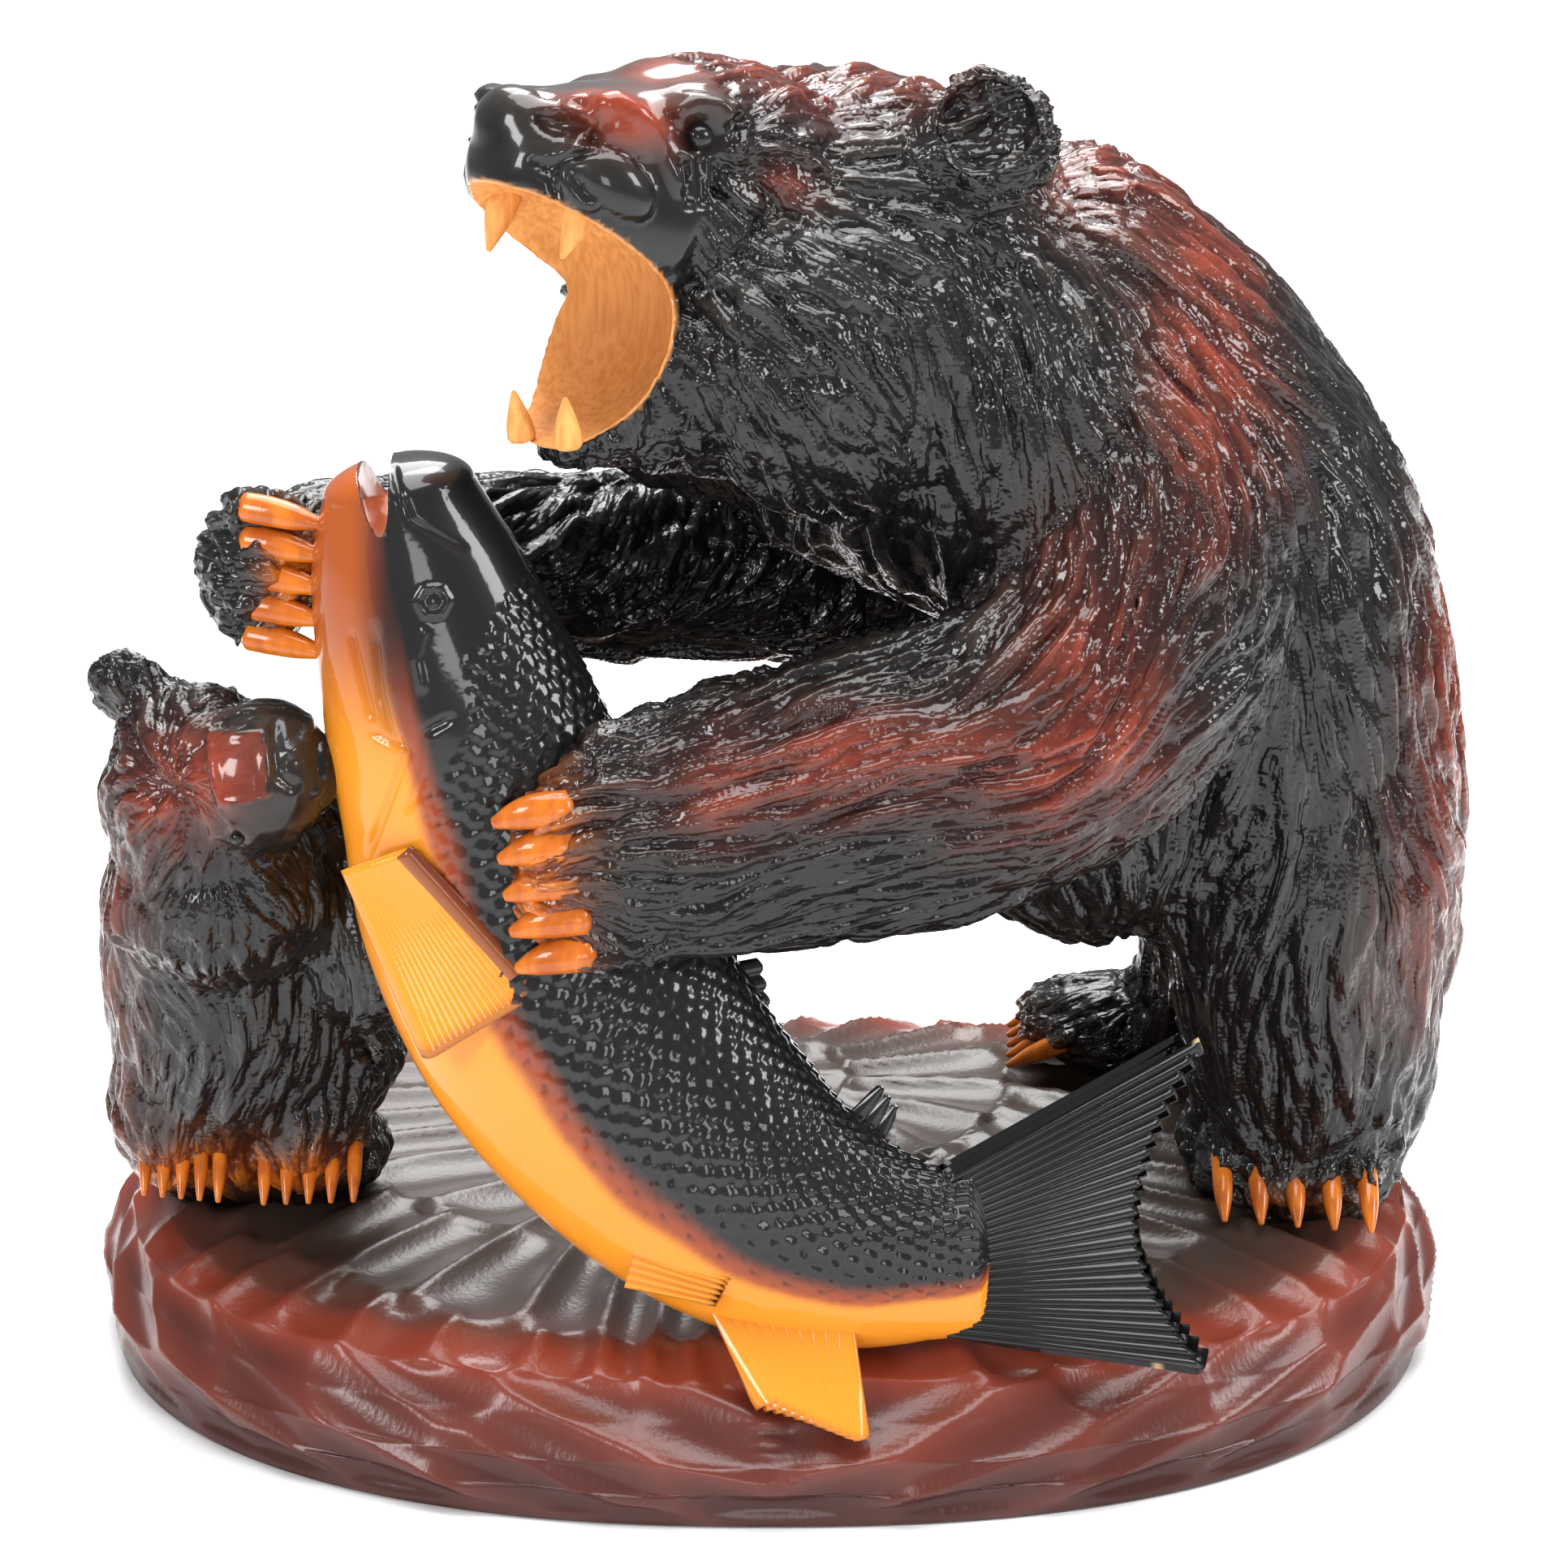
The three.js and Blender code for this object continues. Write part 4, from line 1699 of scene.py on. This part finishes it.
@dataclass
class Salmon:
    """The salmon: a curved body with raised scales, a smooth head and belly, and ribbed fins."""

    stations: list[Station] = field(default_factory=lambda: [
        (-105, -82, 293, 20, 22), (-102, -83, 275, 24, 29), (-97, -84, 254, 27, 34), (-90, -85, 229, 30, 39),
        (-82, -86, 202, 31, 43), (-72, -89, 170, 32, 48), (-55, -96, 136, 32, 49), (-31, -105, 107, 31, 46),
        (-4, -113, 86, 28, 41), (24, -120, 76, 22, 34), (48, -125, 74, 14, 27), (60, -127, 75, 9, 25),
    ])
    around: int = 200
    rings: int = 380
    scales_around: int = 38
    scale_pitch: float = 4.7
    scale_depth: float = 1.5
    scale_half_width: float = 0.56
    head_edge: tuple = ((200, 211, 230, 252, 267, 281), (-140, -98, -83.5, -84.5, -74, -50))
    nape: float = 284.0
    throat: tuple[float, float] = (202.0, 205.0)
    head_stain: tuple[float, float] = (214.0, 262.0)
    gape_at: Triple = (-112.0, -84.0, 306.0)
    gape_radii: Triple = (5.0, 40.0, 24.0)
    gape_turn: Triple = (0.0, -0.15, 0.0)
    fins: tuple[Fin, ...] = (
        Fin("salmon_tail", (52, -127, 100), (52, -129, 50), (126, -108, 136), (127, -146, 48), 24, 8.0,
            notch=20.0, dark=1.0, rib_height=1.7, chips=((125, -108, 137), (113, -142, 43))),
        Fin("salmon_breast_fin", (-119, -108, 189), (-103, -112, 196), (-96, -123, 136), (-66, -118, 154),
            18, 5.0, ridge=0.5, dark_tip=0.5, rib_height=0.85),
        Fin("salmon_belly_fin", (-36, -132, 90), (-42, -130, 66), (-8, -138, 78), (-16, -138, 64), 9, 4.5,
            dark_tip=0.4),
        Fin("salmon_vent_fin", (-16, -126, 56), (24, -130, 54), (0, -146, 36), (26, -150, 26), 10, 5.0,
            dark_tip=0.2),
        Fin("salmon_back_fin", (-26, -98, 152), (-2, -102, 126), (-2, -92, 154), (4, -96, 124), 6, 4.5,
            dark=1.0),
        Fin("salmon_small_fin", (22, -112, 112), (34, -114, 106), (32, -110, 122), (38, -112, 114), 3, 4.5,
            dark=1.0),
    )
    head_lines: tuple[Line | Swell, ...] = (
        Line(tuple(
            (-94 + 4.3 * math.cos(k), 268 + 4.3 * math.sin(k)) for k in (0, 1.05, 2.09, 3.14, 4.19, 5.24, 0)
        ), 1.7, 1.2),
        Swell((-94, 268), (2.4, 2.4), 0.9),
        Line(((-118, 259), (-115, 245), (-112, 232)), 1.8, -1.5),
        Line(((-111, 263), (-109.4, 240), (-107, 231), (-102.5, 226)), 1.8, -1.6),
        Line(((-88, 236), (-96.9, 231), (-98.3, 218), (-103.2, 205)), 2.0, -1.7),
        Line(((-114, 230), (-102, 225.5), (-116, 188)), 1.8, -1.6),
        Line(((-96, 262), (-99, 252), (-97, 242)), 1.6, 0.9),
        Line(((-106, 304), (-100, 290), (-84, 280)), 1.8, -0.9),
    )

    def scale_height(self, run: np.ndarray, angle: np.ndarray) -> np.ndarray:
        """Lay overlapping scales.

        Args:
            run: Distance along the fish from the head, in millimetres.
            angle: Angle about the fish.

        Returns:
            A height from 0 at a scale's root to 1 at its free edge.
        """
        a = run / self.scale_pitch
        b = angle * self.scales_around / (2 * math.pi)
        height = np.zeros_like(a)
        done = np.zeros(len(a), bool)
        for back in (2, 1, 0, -1):
            i = np.floor(a) - back
            shift = np.mod(i, 2) * 0.5
            side = b - shift - np.round(b - shift)
            reach = 2.0 * np.sqrt(np.clip(1.0 - (side / self.scale_half_width) ** 2, 0.0, 1.0))
            d = a - i
            covered = (d >= 0) & (d < reach) & ~done
            height = np.where(covered, d / 2.0, height)
            done |= covered
        return height

    def body(self) -> bpy.types.Object:
        """Make the body with its scales, gill cover and stains.

        Returns:
            The body, not yet dressed.
        """
        sweep = Sweep(self.stations, around=self.around, rings=self.rings, end_share=0.05)
        made, t, angle = sweep.build()
        keep(made, "share", t)
        keep(made, "turn", angle)
        cut(made, ball(self.gape_at, self.gape_radii, self.gape_turn), Knife.EXACT)
        t, angle = kept(made, "share"), kept(made, "turn")
        points, facing = places(made), normals(made)
        samples = np.linspace(0, 1, 400)
        path = through(np.array(self.stations, float), samples)[:, :3]
        lengths = np.concatenate([[0], np.cumsum(np.linalg.norm(np.diff(path, axis=0), axis=1))])
        run = np.interp(t, samples, lengths)
        # The back faces up and to the right, the belly down and to the left.
        back = -np.sin(angle) + 0.05 * soft_noise(points, 22.0, 6)
        border = np.interp(points[:, 2], *self.head_edge)
        below_throat = 1.0 - smooth_step(points[:, 2], *self.throat)
        on_body = np.maximum(smooth_step(points[:, 0] - border, -0.8, 0.8), below_throat)
        on_body = np.where(points[:, 2] > self.nape, 0.0, on_body)
        scaled = on_body * smooth_step(back, -0.40, -0.30)
        height = self.scale_height(run, angle)
        flank = smooth_step(np.abs(facing[:, 1]), 0.1, 0.35)
        face = relief_of(self.head_lines, points[:, [0, 2]]) * flank
        relief = self.scale_depth * scaled * (height - 0.55) + face
        set_places(made, points + facing * relief[:, None])
        head = smooth_step(points[:, 2], *self.head_stain)
        brown = smooth_step(back, -0.95, -0.35) * head * smooth_step(points[:, 0], -119.0, -106.0)
        keep(made, "dark", np.maximum(smooth_step(back, -0.30, -0.10), 0.93 * brown))
        keep(made, "red", np.maximum(smooth_step(back, -0.42, -0.30), 0.9 * head))
        # Painted shade at each scale's root, under the free edge of the scale before it.
        keep(made, "crease_shade", scaled * (1.0 - smooth_step(height, 0.0, 0.45)) * 0.75)
        keep(made, "chip", np.zeros(len(points)))
        made.name = "salmon_body"
        made.data.name = "salmon_body"
        return made

    def build(self) -> list[bpy.types.Object]:
        """Make the whole fish."""
        finish = StainedFish().make("stained_fish")
        return [dress(piece, finish) for piece in [self.body()] + [fin.build() for fin in self.fins]]


# Rock


@dataclass
class Rock:
    """The rock under the group, cut all over with a wide gouge."""

    half_width: float = 212.0
    half_depth: float = 159.7
    squareness: float = 2.3
    profile: tuple = (
        (0.0, 0.0, 0.0), (0.0, 0.6, 0.6), (0.0, 0.97, 0.965), (10.0, 0.99, 1.0), (21.0, 1.0, 0.985),
        (32.0, 0.985, 0.93), (41.0, 0.955, 0.86), (46.0, 0.9, 0.76), (48.0, 0.76, 0.6), (49.0, 0.3, 0.25),
        (49.0, 0.0, 0.0),
    )
    rim_row: int = 7
    around: int = 500
    rings: int = 104
    underside_share: float = 0.06
    side_cut: tuple[float, float] = (50.0, 17.0)
    side_depth: float = 5.4
    side_lean: float = 0.34
    far_side: float = 300.0
    fan_middle: tuple[float, float] = (-10.0, 70.0)
    fan_channels: int = 52
    fan_reach: float = 52.0
    fan_depth: float = 4.6

    def build(self) -> list[bpy.types.Object]:
        """Make the rock, gouged and stained.

        Returns:
            The one piece.
        """
        alone()
        bpy.ops.mesh.primitive_uv_sphere_add(segments=self.around, ring_count=self.rings, radius=1.0)
        made = bpy.context.object
        raw = places(made) * MM
        share = 1.0 - np.arccos(np.clip(raw[:, 2], -1, 1)) / math.pi
        angle = np.arctan2(raw[:, 1], raw[:, 0])
        rows = np.array(self.profile)
        outline = rows * np.array([1.0, self.half_width, 0.0])
        reach = np.concatenate([[0], np.cumsum(np.linalg.norm(np.diff(outline, axis=0), axis=1))])
        rim = float(reach[self.rim_row])
        up = np.interp(share, [0, self.underside_share, 0.5, 1.0], [0, reach[2], rim, reach[-1]])
        z, wide, deep = (np.interp(up, reach, rows[:, k]) for k in range(3))
        power = 2.0 / self.squareness
        x = np.sign(np.cos(angle)) * np.abs(np.cos(angle)) ** power * self.half_width * wide
        y = np.sign(np.sin(angle)) * np.abs(np.sin(angle)) ** power * self.half_depth * deep
        points = np.stack([x, y, z], axis=1)
        set_places(made, points)
        facing = normals(made)
        # Distance round the rock runs both ways from the front's middle, with other cuts on each side.
        radius = (self.half_width + self.half_depth) / 2
        round_front = np.arctan2(x / self.half_width, -y / self.half_depth) * radius
        run = np.abs(round_front) + self.far_side * (round_front < 0)
        side = self.hollows(run, up, *self.side_cut, self.side_lean)
        top = self.channels(points)
        on_top = smooth_step(z, 38.0, 44.5)
        on_side = smooth_step(z, 1.0, 5.0) * (1.0 - on_top)
        sink = side * self.side_depth * on_side + top * self.fan_depth * on_top
        set_places(made, points - facing * sink[:, None])
        # Painted shade in the middle of each side hollow; the sides are also darker towards the bottom.
        low = 1.0 - smooth_step(z, 2.0, 26.0)
        keep(made, "hollow", np.clip(side * 0.75 + 0.5 * low, 0.0, 1.0) * (1 - on_top))
        keep(made, "rim", smooth_step(z, 34.0, 42.0) * (1.0 - smooth_step(z, 45.5, 48.2)) * 0.8)
        keep(made, "grey", smooth_step(z, 43.5, 48.0) * 0.92)
        made.name = "rock"
        made.data.name = "rock"
        return [dress(made, StainedRock().make("stained_rock"))]

    @staticmethod
    def hollows(run: np.ndarray, up: np.ndarray, length: float, height: float, lean: float) -> np.ndarray:
        """Scoop long hollows side by side.

        Args:
            run: Distance round the rock.
            up: Distance up its side.
            length: How long one hollow is.
            height: How high one hollow is.
            lean: How much a row of hollows drops towards the front.

        Returns:
            1 in the middle of each hollow and 0 where it meets the next.
        """
        best = np.full(len(run), 9.0)
        tilted = up - run * lean
        row = np.floor(tilted / height)
        for r in (row - 1, row, row + 1):
            jitter = lattice_value(np.stack([r, r * 0, r * 0], axis=1), 4)
            column = np.floor(run / length - jitter)
            for c in (column - 1, column, column + 1):
                key = np.stack([c, r, r * 0], axis=1)
                middle_run = (c + jitter + 0.5 + 0.25 * lattice_value(key, 5)) * length
                middle_up = (r + 0.5 + 0.2 * lattice_value(key, 6)) * height
                d = ((run - middle_run) / length) ** 2 * 1.6 + ((tilted - middle_up) / height) ** 2 * 1.9
                best = np.minimum(best, d)
        return 1.0 - np.clip(best, 0.0, 1.0)

    def channels(self, points: np.ndarray) -> np.ndarray:
        """Fan long gouge channels over the top.

        Args:
            points: The rock's places.

        Returns:
            1 in the middle of each channel and 0 where it meets the next.
        """
        d = points[:, :2] - np.array(self.fan_middle)
        turn = np.arctan2(d[:, 1], d[:, 0]) + 0.1 * soft_noise(points, 60.0, 51)
        distance = np.linalg.norm(d, axis=1) + 0.1
        ring = np.floor(distance / self.fan_reach + 0.3)
        count = np.maximum(np.round(self.fan_channels * (ring + 0.6) / 4.2), 6.0)
        column = turn / (2 * math.pi) * count + 0.37 * ring
        across = column - np.floor(column) - 0.5
        key = np.stack([np.floor(column), ring, ring * 0], axis=1)
        along = distance / self.fan_reach + 0.3 - ring - 0.5 + 0.12 * lattice_value(key, 8)
        return np.clip(1.0 - (across * 2.0) ** 2, 0.0, 1.0) * np.clip(1.0 - (along * 1.6) ** 4, 0.1, 1.0)


# Studio


@dataclass(frozen=True)
class Panel:
    """A square soft light aimed at the carving, in metres and watts."""

    name: str
    at: Triple
    size: float
    power: float
    target: Triple = (0.0, 0.0, 0.2)

    def hang(self) -> None:
        """Put the light up."""
        panel = bpy.data.lights.new(self.name, "AREA")
        panel.shape = "SQUARE"
        panel.size = self.size
        panel.energy = self.power
        lamp = bpy.data.objects.new(self.name, panel)
        bpy.context.scene.collection.objects.link(lamp)
        lamp.location = self.at
        lamp.rotation_mode = "QUATERNION"
        lamp.rotation_quaternion = (Vector(self.target) - Vector(self.at)).to_track_quat("-Z", "Y")


@dataclass
class Studio:
    """A pale floor, soft lights from above, and the camera at the photograph's viewing angle."""

    distance: float = 1500.0
    elevation: float = 20.0
    target_height: float = 174.0
    focal_pixels: float = 6000.0
    frame_pixels: float = 1932.0
    middle_pixel: float = 947.0
    room_light: float = 0.33
    film_width: float = 36.0
    panels: tuple[Panel, ...] = (
        Panel("overhead", (0.1, 0.1, 1.5), 1.3, 44.0),
        Panel("back_panel", (-0.2, 1.8, 2.5), 1.6, 72.0),
        Panel("left_panel", (-1.1, -1.2, 1.0), 0.5, 15.0),
        Panel("right_panel", (1.3, -0.5, 0.9), 0.5, 12.0),
        Panel("front_panel", (0.1, -2.0, 0.6), 0.5, 6.0),
    )

    def build(self) -> None:
        """Set up everything that isn't the carving."""
        bpy.context.scene.view_settings.view_transform = "Standard"
        self.floor()
        self.room()
        for panel in self.panels:
            panel.hang()
        self.camera()

    def floor(self) -> None:
        """A wide pale sheet under the carving."""
        alone()
        bpy.ops.mesh.primitive_plane_add(size=12.0, location=(0, 0, 0))
        sheet = bpy.context.object
        sheet.name = "floor"
        nodes = Nodes("pale_floor")
        nodes.shader.inputs["Base Color"].default_value = rgb(0.9, 0.9, 0.9)
        nodes.shader.inputs["Roughness"].default_value = 0.9
        sheet.data.materials.append(nodes.material)

    def room(self) -> None:
        """A bright even room."""
        world = bpy.data.worlds.new("room")
        bpy.context.scene.world = world
        world.use_nodes = True
        world.node_tree.nodes["Background"].inputs["Color"].default_value = rgb(0.97, 0.98, 1.0)
        world.node_tree.nodes["Background"].inputs["Strength"].default_value = self.room_light

    def camera(self) -> None:
        """Look down on the carving from the front."""
        seen = bpy.data.cameras.new("camera")
        camera = bpy.data.objects.new("camera", seen)
        bpy.context.scene.collection.objects.link(camera)
        bpy.context.scene.camera = camera
        rise = math.radians(self.elevation)
        back = Vector((0.0, -math.cos(rise), math.sin(rise)))
        camera.location = (Vector((0, 0, self.target_height)) + back * self.distance) * MM
        camera.rotation_mode = "QUATERNION"
        camera.rotation_quaternion = (-back).to_track_quat("-Z", "Y")
        seen.sensor_width = self.film_width
        seen.lens = self.film_width * self.focal_pixels / self.frame_pixels
        seen.shift_x = (self.frame_pixels / 2 - self.middle_pixel) / self.frame_pixels
        seen.clip_end = 30.0


def main() -> None:
    """Build the carving and its studio, and log each part's pieces and their face counts."""
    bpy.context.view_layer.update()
    made: list[bpy.types.Object] = []
    for part in (MotherBear(), Cub(), Salmon(), Rock()):
        pieces = part.build()
        LOG.info("%s: %d pieces", type(part).__name__, len(pieces))
        made += pieces
    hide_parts(NODE)
    Studio().build()


if __name__ == "__main__":
    main()
